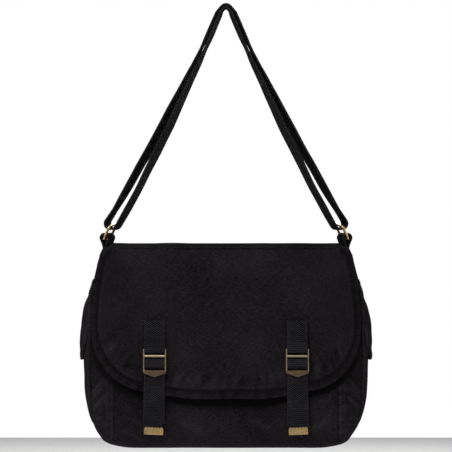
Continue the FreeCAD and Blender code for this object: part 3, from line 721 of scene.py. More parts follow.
def build_flap_cloth():
    """The flap's cloth: its front, an arc over the fold, and the front of the level part."""
    front, front_wear_and_shade = flap_front_rows()
    foot, level_x = front[0], fold_columns()
    turn = np.linspace(0, 1, 9)[:-1, None]
    angle = FOLD_LEAN + turn * (pi / 2 - FOLD_LEAN)
    climb = (np.sin(angle) - sin(FOLD_LEAN)) / (1 - sin(FOLD_LEAN))
    arc = side_by_side(level_x + (1 - turn) * (foot[:, 0] - level_x),
                       foot[:, 1] + FOLD_RADIUS * (cos(FOLD_LEAN) - np.cos(angle)),
                       foot[:, 2] + (FLAP_LEVEL - foot[:, 2]) * climb)
    level_y = np.linspace(0, 1, 9)[:, None]
    start_y = arc[-1, :, 1] + FOLD_RADIUS * 0.2
    level_rows = side_by_side(level_x, start_y + (SPLIT_Y - start_y) * level_y, FLAP_LEVEL)
    grid = np.concatenate([level_rows[::-1], arc[::-1], front])
    wear_and_shade = np.zeros(grid.shape[:2])
    wear_and_shade[9:13] = -0.4              # painted shade along the fold's upper half
    wear_and_shade[17:] = front_wear_and_shade
    faces = grid_faces(*grid.shape[:2])[:, ::-1]
    item = mesh_piece("flap_cloth_front", grid, faces, grid_uv(grid), wear_and_shade, FINISH["canvas"])
    thicken(item, FLAP_CLOTH, FINISH["lining"])
    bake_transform(item)
    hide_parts("flap_front_panel", "flap_top_panel")


def build_flap_back():
    """The flap's cloth over the mouth and down to its seam on the back panel."""
    back_y = section_at(RIM - 8)[2] + 1.6
    bend = rounded([(37.6, FLAP_LEVEL), (back_y - 0.6, FLAP_LEVEL), (back_y + 2.4, RIM - 20)],
                   3.6, 7)[1:]
    level = side_by_side(np.linspace(SPLIT_Y, 37.5, BACK_LEVEL_ROWS), FLAP_LEVEL)
    profile = np.concatenate([level, bend[:-1], resample(bend[-2:], 8)[1:]])
    x, y = np.meshgrid(np.linspace(-NECK_X, NECK_X, BACK_COLUMNS), profile[:, 0])
    z = np.broadcast_to(profile[:, 1:2], x.shape)
    over_mouth = smooth_step(y, -30, -15) * (1 - smooth_step(y, 30, 38))
    points = side_by_side(x, y, z + 0.5 * ripple(x, y, 51, 120, 50) * over_mouth)
    wear_and_shade = 0.3 * bell(np.abs(x), NECK_X, 2.5) + 0.2 * bell(z, FLAP_LEVEL - 2, 2) * (y > 37)
    item = mesh_piece("flap_cloth_back", points, grid_faces(*x.shape), grid_uv(points), wear_and_shade,
                      FINISH["canvas"])
    thicken(item, FLAP_CLOTH, FINISH["lining"])
    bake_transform(item)
    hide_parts("flap_back_panel")


def build_flap_binding():
    """The bias strip folded over the flap's edge: a flat tube carried along the D.

    Its section is a rounded bar, 9 mm deep and 4.2 mm thick, that swells between stitches.
    """
    edge = flap_edge(460)
    deep, high = hem_section(4.6, 4.55, 2.05, 0.42, 22)
    along = even_lengths(edge)
    swell = (1 + 0.20 * ripple(along, 0.0, 61, 9, 5, 4)
             + 0.06 * ripple(along, 0.0, 62, 40, 20, 4))[:, None]
    groove = 1 - 0.25 * bell(deep, 7.8, 0.9)
    spots = edge[:, None] + inwards_of(edge)[:, None] * deep[:, None]
    spots[..., 1] = np.minimum(spots[..., 1], FOLD_Z - 2.5)
    points, outwards = flap_surface(spots[..., 0], spots[..., 1])
    points = points + outwards * (high * groove * swell)[..., None]
    # a rubbed outer fold (0.3), painted shade in the stitch groove (-0.9), and rubbed swells on its
    # front
    wear_and_shade = 0.3 * bell(deep, -0.4, 1.2) - 0.9 * bell(deep, 7.6, 0.7) + 0.9 * (swell - 1) * (high > 1)
    item = tube("flap_edge_binding", points, wear_and_shade, FINISH["binding"], "flap_front")
    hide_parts("flap_binding")


# ---------------------------------------------------------------- side pockets and their lids
POCKET_HALF, POCKET_CLOTH = 46.0, 2.2
LID_HALF, LID_TOP, LID_LOW, LID_CORNER, LID_CLOTH = 44.0, 207.0, 106.0, 32.0, 2.4
LID_COLUMNS, LID_ROWS = 121, 39
LID_BORDER = np.array([9.5, 8.2, 7.3, 6.6, 4.5, 1.5])
# height and distance from the bag's middle plane
POCKET_OUT = np.array([(27, 163.6), (32, 166.2), (42, 170.0), (55, 173.0), (72, 175.4),
                       (92, 176.2), (118, 176.0), (140, 175.3), (152, 174.4)])
LID_OUT = np.array([(-18, 180.2), (106, 180.2), (140, 180.4), (152, 179.6), (163, 178.0),
                    (173, 175.3), (183, 171.4), (195, 166.9), (203, 164.3), (207, 163.2),
                    (209, 162.7)])


def gusset_face(y, height):
    """Distance of the gusset from the middle plane at y, following the corner arcs."""
    half, front, back, radius = section_at(height)
    past = np.maximum(-y - (front - radius), y - (back - radius))
    return half - radius + np.sqrt(np.clip(radius**2 - np.clip(past, 0, radius) ** 2, 0, None))


def build_side_pocket(side, label):
    """A gathered patch pocket on the gusset: full in the middle, pinned down round its edge."""
    y, z = np.meshgrid(
        np.concatenate([[-46, -45.2, -44], np.linspace(-42, 42, 43), [44, 45.2, 46]]),
        np.concatenate([[27, 27.8, 29], np.linspace(31, 149, 47), [150.5, 152]]))
    gusset = gusset_face(y, z)
    full = hermite(z, POCKET_OUT) - gusset
    corner = 5 - 2.6 * smooth_step(z, 118, 152)
    free = np.clip(1 - (np.abs(y) / POCKET_HALF) ** corner, 0, 1) ** 0.6 * smooth_step(z, 26.5, 34)
    pleats = ripple(y, z * 0.15, 71 + side, 26, 12, 6) * bell(z, 30, 22) * 0.9
    soft = 0.7 * ripple(y, z, 73 + side, 60, 25)
    out = np.minimum(0.9 + (full - 0.9 + pleats + soft) * free, full + 0.6)
    points = side_by_side(side * (gusset + np.maximum(out, 0.7)), y, z)
    wear_and_shade = 0.4 * bell(z, 151, 1.6) + 0.3 * bell(np.abs(y), 45, 1.5) + 0.3 * bell(z, 28, 1.5)
    item = mesh_piece(f"side_pocket_cloth_{label}", points, grid_faces(*y.shape)[:, ::side],
                      grid_uv(points), wear_and_shade, FINISH["canvas"], "bag")
    thicken(item, POCKET_CLOTH, FINISH["lining"], offset=-1.0)
    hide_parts(f"side_pocket_{label}")


def lid_edge(count):
    """The lid's D as (y, height): down one side, round the tongue and up the other."""
    turn = np.linspace(0, pi, 60)[1:-1]
    start = LID_LOW + LID_CORNER
    low = side_by_side(-LID_HALF * np.cos(turn), start - LID_CORNER * np.sin(turn) ** 0.9)
    return resample([(-LID_HALF, LID_TOP), (-LID_HALF, start), *low, (LID_HALF, start),
                     (LID_HALF, LID_TOP)], count)


def lid_surface(y, z, seed):
    """The lid's middle surface: out from its seam, over the pocket and straight down.

    Its sides curl in by (|y| / half)^3, most above the pocket, but stay clear of the gusset.
    """
    hang = smooth_step(LID_TOP - z, 2, 24)
    curl = hang * (7 + 7 * bell(z, 170, 24))
    out = hermite(z, LID_OUT) - curl * (np.abs(y) / LID_HALF) ** 3
    out += hang * (0.6 * ripple(y, z, seed, 60, 28) + 0.25 * ripple(y, z, seed + 1, 22, 12))
    return np.maximum(out, gusset_face(y, z) + 3.2 * smooth_step(LID_TOP - z, -2, 20) - 1.2)


def lid_seed(side):
    return 81 if side < 0 else 85


def build_pocket_lid(side, label):
    """A pocket's lid: a fan of columns from its seam to its D-shaped edge."""
    edge = lid_edge(LID_COLUMNS)
    top = side_by_side(np.linspace(-1, 1, LID_COLUMNS) * (LID_HALF - 1.5), LID_TOP)
    rows = fan(top, edge, LID_BORDER, LID_ROWS)
    y, z = rows[..., 0], np.minimum(rows[..., 1], LID_TOP)
    points = side_by_side(side * lid_surface(y, z, lid_seed(side)), y, z)
    wear_and_shade = 0.25 * bell(z, LID_TOP, 4) + 0.12 * bell(z, 165, 20)
    item = mesh_piece(f"pocket_lid_{label}", points, grid_faces(*y.shape)[:, ::-side],
                      grid_uv(points), wear_and_shade, FINISH["canvas"], f"pocket_flap_{label}")
    thicken(item, LID_CLOTH, FINISH["lining"])
    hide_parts(f"pocket_flap_{label}")


def build_lid_hem(side, label):
    """The lid's edge rolled over: a flat tube carried along its D."""
    edge = lid_edge(LID_COLUMNS)
    deep, high = hem_section(3.6, 3.5, 1.9, 0.45, 18)
    swell = 1 + 0.10 * ripple(even_lengths(edge), 0.0, lid_seed(side) + 4, 12, 6, 4)
    spots = edge[:, None] + inwards_of(edge)[:, None] * deep[:, None]
    y, z = spots[..., 0], np.minimum(spots[..., 1], LID_TOP)
    full = 0.35 + 0.65 * smooth_step(LID_TOP - z, 0, 16)
    x = lid_surface(y, z, lid_seed(side)) + high * swell[:, None] * full
    item = tube(f"pocket_lid_hem_{label}", side_by_side(side * x, y, z),
                0.25 + 0.45 * bell(deep, -0.2, 1.5), FINISH["binding"], f"pocket_flap_{label}")
    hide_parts(f"pocket_flap_hem_{label}")


# ---------------------------------------------------------------- webbing
def band_section(half, thick):
    """Closed section of flat webbing: a bar with round selvedges, as (across, out)."""
    across = np.linspace(-1, 1, 13)
    crown = np.where(np.abs(across) > 0.86, 1.0, 0.86) * thick / 2
    top = side_by_side(across * (half - thick * 0.25), crown)
    return np.concatenate([top, [(half, 0)], top[::-1] * (1, -1), [(-half, 0)]])


def band(name, middle, out, side_way, half, thick, body, wear_and_shade, closed=False):
    """Webbing carried along a path; middle and out are given at each of its points."""
    section = band_section(half, thick)
    across, off = section.T[:, :, None]
    side_way = np.broadcast_to(side_way, middle.shape)
    points = middle[:, None] + side_way[:, None] * across + out[:, None] * off
    uv = side_by_side(section[:, 0] + 80, run_lengths(middle)[:, None])
    rubbed = 0.5 * bell(np.abs(section[:, 0]), half, thick * 0.5) + 0.1 + wear_and_shade[:, None]
    return tube(name, points, rubbed, FINISH["webbing"], body, uv, closed)


def turned_frame(path, side_way):
    """Outward directions along a path of points: its run crossed with side_way."""
    return unit(np.cross(unit(np.gradient(path, axis=0)), side_way))


STRAP_HALF, STRAP_PLY, STRAP_TURN, TURN_Z, TURN_SPLAY = 19.0, 2.4, 6.0, 276.0, 2.97
STRAP_POINTS = 900
RING_TOP, RING_LOW = (141.1, 274.2), (148.2, 258.4)
APEX_OUT, APEX_IN = 550.5, 545.0
LEG_OUT = np.array([0.892, 0.452])             # across a leg, away from the bag's middle
# height, then x and splay of the outer ply, then x and splay of the inner ply. The webbing is
# a little twisted, and its splay is how far its front edge stands outwards of its middle.
STRAP_LEG = np.array([
    (538.0, 11.4, 1.2, 6.4, 1.2), (508.0, 24.6, 1.2, 19.3, 1.2), (496.0, 30.2, 0.5, 24.6, 0.7),
    (480.0, 37.6, 1.3, 31.8, 1.5), (455.0, 51.1, 1.6, 43.6, 2.1), (430.0, 63.6, 2.7, 55.2, 2.8),
    (405.0, 76.4, 3.4, 66.6, 3.4), (368.0, 96.0, 3.8, 85.2, 3.8), (343.0, 110.0, 3.6, 97.2, 3.2),
    (318.0, 123.9, 3.3, 109.6, 2.9), (293.0, 138.9, 2.0, 123.4, 3.0),
])


def strap_route(edge):
    """Middle line of the endless strap at one edge of the webbing, as closed (x, z) points.

    Outer ply over the top, round the right ring, inner ply under the top, round the left ring.
    Edge is 1 at the webbing's front edge and -1 at its back edge.
    """
    z = np.linspace(STRAP_LEG[0, 0], STRAP_LEG[-1, 0], 90)
    falling = STRAP_LEG * (-1, 1, 1, 1, 1)
    outer, inner = (side_by_side(hermite(-z, falling, k), z)
                    + LEG_OUT * edge * hermite(-z, falling, k + 1)[:, None] for k in (1, 3))
    turn = np.linspace(0, -pi, 17) + atan2(LEG_OUT[1], LEG_OUT[0])
    bottom = (np.array([RING_TOP[0] + edge * TURN_SPLAY, TURN_Z])
              + (STRAP_TURN + STRAP_PLY / 2) * side_by_side(np.cos(turn), np.sin(turn)))
    top_out = np.array([(0, -1.2), (3.4, -2.0), (6.6, -4.7)]) + (0, APEX_OUT)
    top_in = np.array([(4.2, -2.6), (2.0, 0.3), (0, 1.2)]) + (0, APEX_IN)
    right = np.concatenate([top_out, outer, bottom, inner[::-1], top_in])
    return np.concatenate([right[:-1], right[:0:-1] * (-1, 1)])


def build_shoulder_strap():
    """The shoulder strap: one endless band, its front edge a little wider than its back edge."""
    edges = []
    for edge in (1, -1):
        route = strap_route(edge)
        x, z = resample([*route, route[0]], STRAP_POINTS + 1)[:-1].T
        edges.append(side_by_side(x, -edge * STRAP_HALF, z))
    middle, side_way = (edges[0] + edges[1]) / 2, unit(edges[1] - edges[0])
    run = np.roll(middle, -2, axis=0) - np.roll(middle, 2, axis=0)
    out = unit(np.cross(run, side_way))
    middle = middle + out * (0.2 * ripple(even_lengths(middle), 0.0, 91, 70, 30, 6))[:, None]
    item = band("shoulder_strap_webbing", middle, out, side_way, STRAP_HALF, STRAP_PLY - 0.3,
                "strap", 0.2 * bell(middle[:, 2], TURN_Z - 8, 6), closed=True)
    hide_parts("shoulder_strap")


def build_ring_tab(side, label):
    """The webbing loop that holds a ring: both ends sewn inside the gusset's top."""
    wire, ply, yaw = 4.1, 2.3, radians(9)
    x, z = RING_LOW
    turn = np.linspace(pi + 0.5, -0.5, 19)
    loop = (wire + ply / 2) * side_by_side(np.cos(turn), np.sin(turn))
    foot = np.array([(-1.25, -22.0), (-1.25, -12.0), (-2.6, -7.4)])
    path = resample(np.concatenate([foot, loop, foot[::-1] * (-1, 1)]), 64)
    side_way = np.array([sin(yaw) * -side, cos(yaw), 0.0])
    x_way = np.array([cos(yaw), sin(yaw) * side, 0.0])
    middle = np.array([side * x, 0, z]) + path[:, :1] * x_way + path[:, 1:] * (0, 0, 1)
    item = band(f"ring_tab_webbing_{label}", middle, turned_frame(middle, side_way), side_way,
                STRAP_HALF - 0.4, ply - 0.2, "bag", 0.3 * bell(path[:, 1], 5, 3))
    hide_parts(f"ring_tab_{label}")


# ---------------------------------------------------------------- closures
CLOSURE_X, CLOSURE_HALF, PLY = 87.2, 12.5, 1.6
BUCKLE_Y, BUCKLE_THICK, BUCKLE_TOP, BAR = 71.4, 2.6, 122.9, 2.6
BARS = (121.6, 114.2, 105.2)   # heights of the top bar, the crossbar and the hidden bar
TAB_TOP, TAB_PLY = 158.7, 1.8
ACROSS = np.array([1.0, 0, 0])


def tab_face(z):
    """Y of the closure tab's inner ply, on the flap's cloth."""
    return -section_at(z)[1] - FLAP_MID - TAB_PLY - TAB_PLY / 2


def build_closure_tab(side, label):
    """The webbing tab on the flap: doubled round the buckle's top bar, both plies sewn down."""
    z = np.linspace(TAB_TOP - 0.8, BARS[0] + 9, 12)
    hold = BAR / 2 + 1.5
    turn = np.linspace(pi * 0.86, 2.14 * pi, 17)
    loop = side_by_side(-BUCKLE_Y + hold * np.cos(turn), BARS[0] + hold * np.sin(turn))
    line = resample(np.concatenate([side_by_side(tab_face(z) - 2.0, z), loop,
                                    side_by_side(tab_face(z), z)[::-1]]), 90)
    middle = side_by_side(side * CLOSURE_X, line[:, 0], line[:, 1])
    item = band(f"closure_tab_webbing_{label}", middle, turned_frame(middle, ACROSS), ACROSS,
                CLOSURE_HALF, TAB_PLY, "flap_front", 0.25 * bell(line[:, 1], BARS[0] - 2, 3))
    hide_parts(f"closure_tab_{label}")


def build_closure_strap(side, label):
    """The strap: up behind the plate, over the hidden bar and down again into its tip.

    Its free end leans outwards by skew and is seen a little narrower, as it turns.
    """
    back = -BUCKLE_Y + BUCKLE_THICK / 2 + PLY * 1.5 + 0.2
    tail = -BUCKLE_Y + BUCKLE_THICK / 2 + PLY / 2
    bulge = -BUCKLE_Y - BUCKLE_THICK / 2 - PLY / 2 - 0.2
    over, under = BARS[2] + BAR / 2 + 3.8, BARS[2] - BAR / 2 - 3.6
    y, z = resample(rounded([(back, 30), (back, over), (bulge, over), (bulge, under),
                             (tail, under), (tail, 20.4)], 2.1), 170).T
    on_tail = smooth_step(np.linspace(0, 1, 170), 0.54, 0.62)
    hanging = on_tail * (1 - smooth_step(z, 20, 100))
    skew = 0.4 * on_tail + 2.6 * hanging
    out = turned_frame(side_by_side(0.0, y, z), ACROSS)
    item = band(f"closure_strap_webbing_{label}", side_by_side(side * (CLOSURE_X + skew), y, z),
                out, ACROSS * (1 - 0.085 * hanging)[:, None], CLOSURE_HALF - 0.1, PLY - 0.1,
                f"closure_{label}", 0.25 * bell(z, BARS[2], 6) * bell(y, bulge, 1))
    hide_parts(f"closure_strap_{label}")


# ---------------------------------------------------------------- stitching
DOUBLE_ROW = (2.6, 4.9)        # distances of a double row from its seam
FLAP_EDGE_ROWS = ((7.6, 1.62), (10.4, 1.32))   # in from the edge, and off the cloth's middle
OVER_TAB = 2.78                # from a closure tab's inner ply out to the stitches on it
STITCH_SIDES = 5
STITCH_RINGS = np.array([(-1.0, 0.14, -0.30), (-0.55, 0.30, 0.06), (0.55, 0.30, 0.06),
                         (1.0, 0.14, -0.30)])      # along, radius, lift; in half lengths and mm


def stitch_row(points, out, pitch):
    """Places, ways along and ways out of the stitches on a polyline with outward directions."""
    both = np.concatenate([points, np.broadcast_to(out, points.shape)], axis=1)
    both = resample(both, pitch=0.5)
    run = run_lengths(both[:, :3])
    at = np.arange(pitch / 2, run[-1], pitch)
    behind, spots, ahead = (side_by_side(*(np.interp(at + step, run, part) for part in both.T))
                            for step in (-0.8, 0, 0.8))
    along = unit(ahead[:, :3] - behind[:, :3])
    away = spots[:, 3:] - along * np.sum(spots[:, 3:] * along, axis=1, keepdims=True)
    return spots[:, :3], along, unit(away)


def sew(name, rows, body, stitching):
    """Rows of short thread capsules; a row is its line of points and the way out of the cloth."""
    placed = [stitch_row(points, out, in_mm(stitching.pitch)) for points, out in rows]
    spots, along, out = (np.concatenate(parts)[:, None, None] for parts in zip(*placed))
    turn = np.arange(STITCH_SIDES) * 2 * pi / STITCH_SIDES
    at, radius, lift = STITCH_RINGS.T[:, :, None]
    points = (spots + along * (at * in_mm(stitching.length) / 2)[..., None]
              + out * (lift + radius * np.sin(turn))[..., None]
              + np.cross(along, out) * (radius * np.cos(turn))[..., None])
    rings = len(STITCH_RINGS)
    each = np.arange(len(spots))[:, None, None] * rings * STITCH_SIDES
    ring = np.arange(STITCH_SIDES)
    ends = np.stack([ring[::-1], ring + (rings - 1) * STITCH_SIDES])
    quads = (grid_faces(rings, STITCH_SIDES, around=True) + each).reshape(-1, 4).tolist()
    caps = (ends + each).reshape(-1, STITCH_SIDES).tolist()
    recalculate(mesh_piece(name, points, quads + caps, None, None, FINISH["thread"], body))


def on_shell(w, height):
    """Points and outward directions on the sewn body's relief."""
    points, outwards = skin(w, height)
    return points + outwards * shell_rise(w, height)[0][..., None], outwards


def sew_body(stitching):
    """Double rows beside every corner seam and the base's edge, and one under the rim."""
    rows, z = [], np.linspace(8, RIM - 2, 240)
    seam, whole = around_of(SEAM_X, z), half_perimeter(z)
    base_seam, base_whole = around_of(SEAM_X, BASE_RISE), half_perimeter(BASE_RISE)
    across = np.linspace(base_seam + 8, base_whole - base_seam - 8, 90)
    rim = np.linspace(0.4, half_perimeter(RIM - 20) - 0.4, 400)
    for side, _ in SIDES:
        for past in DOUBLE_ROW:
            rows += [on_shell(side * (seam + past), z), on_shell(side * (whole - seam - past), z)]
        rows += [on_shell(side * across, np.full(90, BASE_RISE - past)) for past in DOUBLE_ROW]
        rows.append(on_shell(side * rim, np.full(400, RIM - 20)))
    sew("body_stitching", rows, "bag", stitching)


def closure_tab_rows(side):
    """A box of stitches on a closure tab, and a second row above the buckle."""
    low, high, reach = BARS[0] + 10.5, TAB_TOP - 3.5, CLOSURE_HALF - 2.4
    box = [(-reach, low), (-reach, high), (reach, high), (reach, low), (-reach, low)]
    for line in (box, [(-reach, low - 3), (reach, low - 3)]):
        x, z = resample(line, pitch=2.0).T
        yield side_by_side(side * CLOSURE_X + x, tab_face(z) - OVER_TAB, z), (0, -1.0, 0)


def sew_flap(stitching):
    """Two rows round the flap's edge, one on the binding and one beside it, and the tabs'."""
    rows, edge = [], flap_edge(900)
    for inset, lift in FLAP_EDGE_ROWS:
        w, height = (edge + inwards_of(edge) * inset).T
        points, outwards = flap_surface(w, np.minimum(height, FOLD_Z - 5))
        rows.append((points + outwards * lift, outwards))
    for side, _ in SIDES:
        rows += closure_tab_rows(side)
    sew("flap_stitching", rows, "flap_front", stitching)


def sew_flap_back(stitching):
    """Two rows that hold the flap to the back panel."""
    x, rows = np.linspace(-NECK_X + 3, NECK_X - 3, 200), []
    start = section_at(RIM - 8)[2] + 1.0
    for down in (13.0, 16.5):
        z = RIM - down
        y = start + 3.0 * (FLAP_LEVEL - z) / (FLAP_LEVEL - (RIM - 20)) + 1.35
        rows.append((side_by_side(x, y, z), (0, 1.0, 0.1)))
    sew("flap_back_stitching", rows, "bag", stitching)


def sew_lid(stitching, side, label):
    """A row round the lid's rolled hem and one under its seam."""
    edge, rows = lid_edge(400), []
    hem = edge + inwards_of(edge) * 5.6
    seam = side_by_side(np.linspace(-LID_HALF + 3, LID_HALF - 3, 80), LID_TOP - 4)
    for line, lift in ((hem[hem[:, 1] < LID_TOP - 2], 1.75), (seam, 1.25)):
        y, z = line.T
        x = lid_surface(y, z, lid_seed(side)) + lift
        rows.append((side_by_side(side * x, y, z), (side * 1.0, 0, 0)))
    sew(f"pocket_lid_stitching_{label}", rows, f"pocket_flap_{label}", stitching)


# ---------------------------------------------------------------- brass pieces
BUCKLE_HALF, RAIL, SHOULDER_Z, POINT_Z, PLATE_TOP = 14.1, 1.7, 93.5, 88.7, 96.6
TIP_LOW, TIP_HIGH, TIP_HALF, TIP_TILT, TIP_ASIDE = 18.3, 27.4, 11.7, 2.4, 1.2


def prisms(name, outlines, front, thick, material, bevel, body):
    """Plates cut to (x, z) outlines, all of one thickness, with rounded edges."""
    points, faces, start = [], [], 0
    for outline in outlines:
        count, (x, z) = len(outline), outline.T
        points += [side_by_side(x, y, z) for y in (front, front + thick)]
        near = np.arange(count) + start
        ahead = (np.arange(count) + 1) % count + start
        faces += side_by_side(near, ahead, ahead + count, near + count).tolist()
        faces += [near[::-1].tolist(), (near + count).tolist()]
        start += 2 * count
    item = mesh_piece(name, np.concatenate(points), faces, None, None, material, body)
    recalculate(item)
    rounding = item.modifiers.new("Rounded edges", "BEVEL")
    rounding.width, rounding.segments, rounding.harden_normals = bevel / 1000, 3, True
    return item


def rectangle(x_low, x_high, z_low, z_high):
    return np.array([(x_low, z_low), (x_high, z_low), (x_high, z_high), (x_low, z_high)], float)


def build_buckle(side, label):
    """The ladder buckle: two rails, three bars for the webbing and a pointed plate."""
    inner, front = BUCKLE_HALF - RAIL, -BUCKLE_Y - BUCKLE_THICK / 2
    shift, body = (side * CLOSURE_X, 0), f"closure_{label}"
    rails = [rectangle(a, b, SHOULDER_Z, BUCKLE_TOP) + shift
             for a, b in ((-BUCKLE_HALF, -inner), (inner, BUCKLE_HALF))]
    top, cross, hidden = (rectangle(-inner - 0.5, inner + 0.5, z - half, z + half) + shift
                          for z, half in zip(BARS, (BAR / 2, BAR / 2, 1.1)))
    plate = np.array([(-BUCKLE_HALF, SHOULDER_Z), (-2.0, POINT_Z + 0.6), (0, POINT_Z),
                      (2.0, POINT_Z + 0.6), (BUCKLE_HALF, SHOULDER_Z), (BUCKLE_HALF, PLATE_TOP),
                      (-BUCKLE_HALF, PLATE_TOP)]) + shift
    # the frame takes the brass with painted reflection, the plate and hidden bars the brass with
    # painted shade
    frame_piece = prisms(f"buckle_frame_{label}", [*rails, cross], front, BUCKLE_THICK,
                         FINISH["brass_painted_reflection"], 0.75, body)
    plate_piece = prisms(f"buckle_plate_{label}", [plate, top, hidden], front, BUCKLE_THICK,
                         FINISH["brass_painted_shade"], 0.7, body)
    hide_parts(f"buckle_{label}")


def build_strap_tip(side, label):
    """The crimped end of a strap: a folded plate with a toothed upper edge, a little askew."""
    shoulder, count, tooth = TIP_HIGH - 1.2, 13, 1.7
    teeth = side_by_side(np.linspace(TIP_HALF - 0.8, -TIP_HALF + 0.8, count),
                         shoulder + tooth * (np.arange(count) % 2))
    outline = np.array([(-TIP_HALF, TIP_LOW), (TIP_HALF, TIP_LOW), (TIP_HALF, shoulder), *teeth,
                        (-TIP_HALF, shoulder)])
    tilt = radians(TIP_TILT) * side
    centre = np.array([0, (TIP_LOW + TIP_HIGH) / 2])
    turned = (outline - centre) @ np.array([(cos(tilt), sin(tilt)), (-sin(tilt), cos(tilt))])
    node = f"strap_tip_{label}"
    low, high = (np.array(corner) * 1000 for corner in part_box(node))
    turned += centre + ((low[0] + high[0]) / 2 + side * TIP_ASIDE, 0)
    item = prisms(f"strap_end_{label}", [turned], low[1], high[1] - low[1], FINISH["brass"], 0.45,
                  f"closure_{label}")
    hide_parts(node)


def finish_brass(label):
    """A side's ring and stud keep their solids and take the plated finish."""
    for stem in ("ring", "stud_socket", "press_stud"):
        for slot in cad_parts[f"{stem}_{label}"].material_slots:
            slot.material = FINISH["brass"]


# ---------------------------------------------------------------- studio
# name, place, size and share of the key lamp's power
LAMPS = [
    ("key_light", (-0.7, -1.8, 2.0), 0.7, 1.0),
    ("fill_light", (1.8, -2.4, 0.5), 1.8, 0.07),
    ("top_light", (0, 0.2, 2.2), 1.6, 0.25),
    ("side_light_left", (-2.6, 0.5, 0.9), 1.4, 0.3),
    ("side_light_right", (2.6, 0.5, 0.9), 1.4, 0.3),
    ("back_light", (0.3, 2.6, 1.2), 1.6, 0.8),
]
LAMP_AIM = (0, -0.05, -0.4)
EYE_Z = -0.272                 # height of the level camera


def sheet_of_paper(name, corners, material):
    mesh = bpy.data.meshes.new(name)
    mesh.from_pydata(corners, [], [(0, 1, 2, 3)])
    mesh.materials.append(material)
    item = bpy.data.objects.new(name, mesh)
    bpy.context.scene.collection.objects.link(item)


def studio_paper(name, shows_white):
    """Matt white background paper; a backdrop is plain white to the camera and in reflections."""
    material, tree, shader = new_material(name, 0.9, 0.2)
    shader.inputs["Base Color"].default_value = linear("f2f2f2")
    if shows_white:
        rays = add_node(tree, "LightPath").outputs
        seen = math_node(tree, "ADD", rays["Is Camera Ray"], rays["Is Glossy Ray"])
        seen = math_node(tree, "ADD", seen, rays["Is Transmission Ray"], clamp=True)
        white = add_node(tree, "Emission", None, {"Color": (1, 1, 1, 1), "Strength": 1.0})
        mixed = add_node(tree, "MixShader", None, {0: seen, 1: shader.outputs[0],
                                                   2: white.outputs[0]})
        tree.links.new(mixed.outputs[0], tree.nodes["Material Output"].inputs["Surface"])
    return material


def even_sky(sky):
    """A world that lights by sky but is plain white to the camera."""
    world = bpy.data.worlds.new("Studio")
    world.use_nodes = True
    tree = world.node_tree
    rays = add_node(tree, "LightPath").outputs
    seen = math_node(tree, "ADD", rays["Is Camera Ray"], rays["Is Transmission Ray"], clamp=True)
    background = tree.nodes["Background"]
    background.inputs["Color"].default_value = (1, 1, 1, 1)
    tree.links.new(total(tree, sky, (seen, 1.0 - sky)), background.inputs["Strength"])
    return world


def place_in_scene(item, place):
    item.location = place
    bpy.context.scene.collection.objects.link(item)
    return item


def build_stage(studio):
    """Camera at the photograph's place, pale floor below the hanging bag, backdrop and lamps."""
    scene = bpy.context.scene
    scene.view_settings.view_transform = "Standard"
    low, far = -HANG / 1000 - studio.floor_gap, 6.0
    sheet_of_paper("floor", [(-3, -3.5, low), (3, -3.5, low), (3, 3.5, low), (-3, 3.5, low)],
                   studio_paper("Background paper, floor", False))
    sheet_of_paper("backdrop", [(-6, far, low), (6, far, low), (6, far, 4), (-6, far, 4)],
                   studio_paper("Background paper, backdrop", True))
    scene.world = even_sky(studio.sky)
    for name, place, size, share in LAMPS:
        lamp = bpy.data.lights.new(name, "AREA")
        lamp.shape, lamp.size, lamp.energy = "SQUARE", size, studio.key * share
        item = place_in_scene(bpy.data.objects.new(name, lamp), place)
        to_aim = Vector(LAMP_AIM) - Vector(place)
        item.rotation_euler = to_aim.to_track_quat("-Z", "Y").to_euler()
    camera = bpy.data.cameras.new("photograph_view")
    camera.lens, camera.sensor_width = studio.lens, 36.0
    item = place_in_scene(bpy.data.objects.new("photograph_view", camera),
                          (0, -studio.distance, EYE_Z))
    item.rotation_euler = (pi / 2, 0, 0)
    scene.camera = item


# ---------------------------------------------------------------- settings
class BagCanvasSettings(PropertyGroup):
    """The bag's cloth."""
    relief: FloatProperty(name="Relief", description="Height of ripples, seams and creases",
                          default=0.001, min=0.0, max=0.003, unit="LENGTH")
    wall: FloatProperty(name="Body cloth", description="Thickness of the body's lined canvas",
                        default=0.0024, unit="LENGTH")
    dark: FloatVectorProperty(name="Dye", description="Colour of the unworn cloth",
                              default=linear("0c0b0c")[:3], subtype="COLOR", min=0, max=1)
    faded: FloatVectorProperty(name="Faded", description="Colour where the dye has rubbed off",
                               default=linear("2b282b")[:3], subtype="COLOR", min=0, max=1)


class BagStitchingSettings(PropertyGroup):
    """The sewing thread."""
    pitch: FloatProperty(name="Pitch", description="From one stitch to the next",
                         default=0.0033, min=0.0015, max=0.01, unit="LENGTH")
    length: FloatProperty(name="Length", description="Visible length of a stitch",
                          default=0.0023, min=0.001, max=0.008, unit="LENGTH")


class BagStudioSettings(PropertyGroup):
    """Camera, lamps and background."""
    distance: FloatProperty(name="Camera distance", description="From the camera to the strap",
                            default=3.0, unit="LENGTH")
    lens: FloatProperty(name="Lens", description="Focal length on a 36 mm wide frame, in mm",
                        default=191.15)
    floor_gap: FloatProperty(name="Floor gap", description="How far the bag hangs off the floor",
                             default=0.3, unit="LENGTH")
    key: FloatProperty(name="Key lamp", description="Power of the main lamp",
                       default=80.0, unit="POWER")
    sky: FloatProperty(name="Sky", description="Strength of the even light from all round",
                       default=0.11)


class MessengerBagSettings(PropertyGroup):
    """Everything that can be set for the messenger bag."""
    canvas: PointerProperty(type=BagCanvasSettings)
    stitching: PointerProperty(type=BagStitchingSettings)
    studio: PointerProperty(type=BagStudioSettings)


# ---------------------------------------------------------------- operators
class BAG_OT_finishes(Operator):
    """Make the cloth, webbing, thread and brass materials"""
    bl_idname = "bag.finishes"
    bl_label = "Finishes"

    def execute(self, context):
        FINISH.update(finishes(context.scene.messenger_bag.canvas))
        return {"FINISHED"}


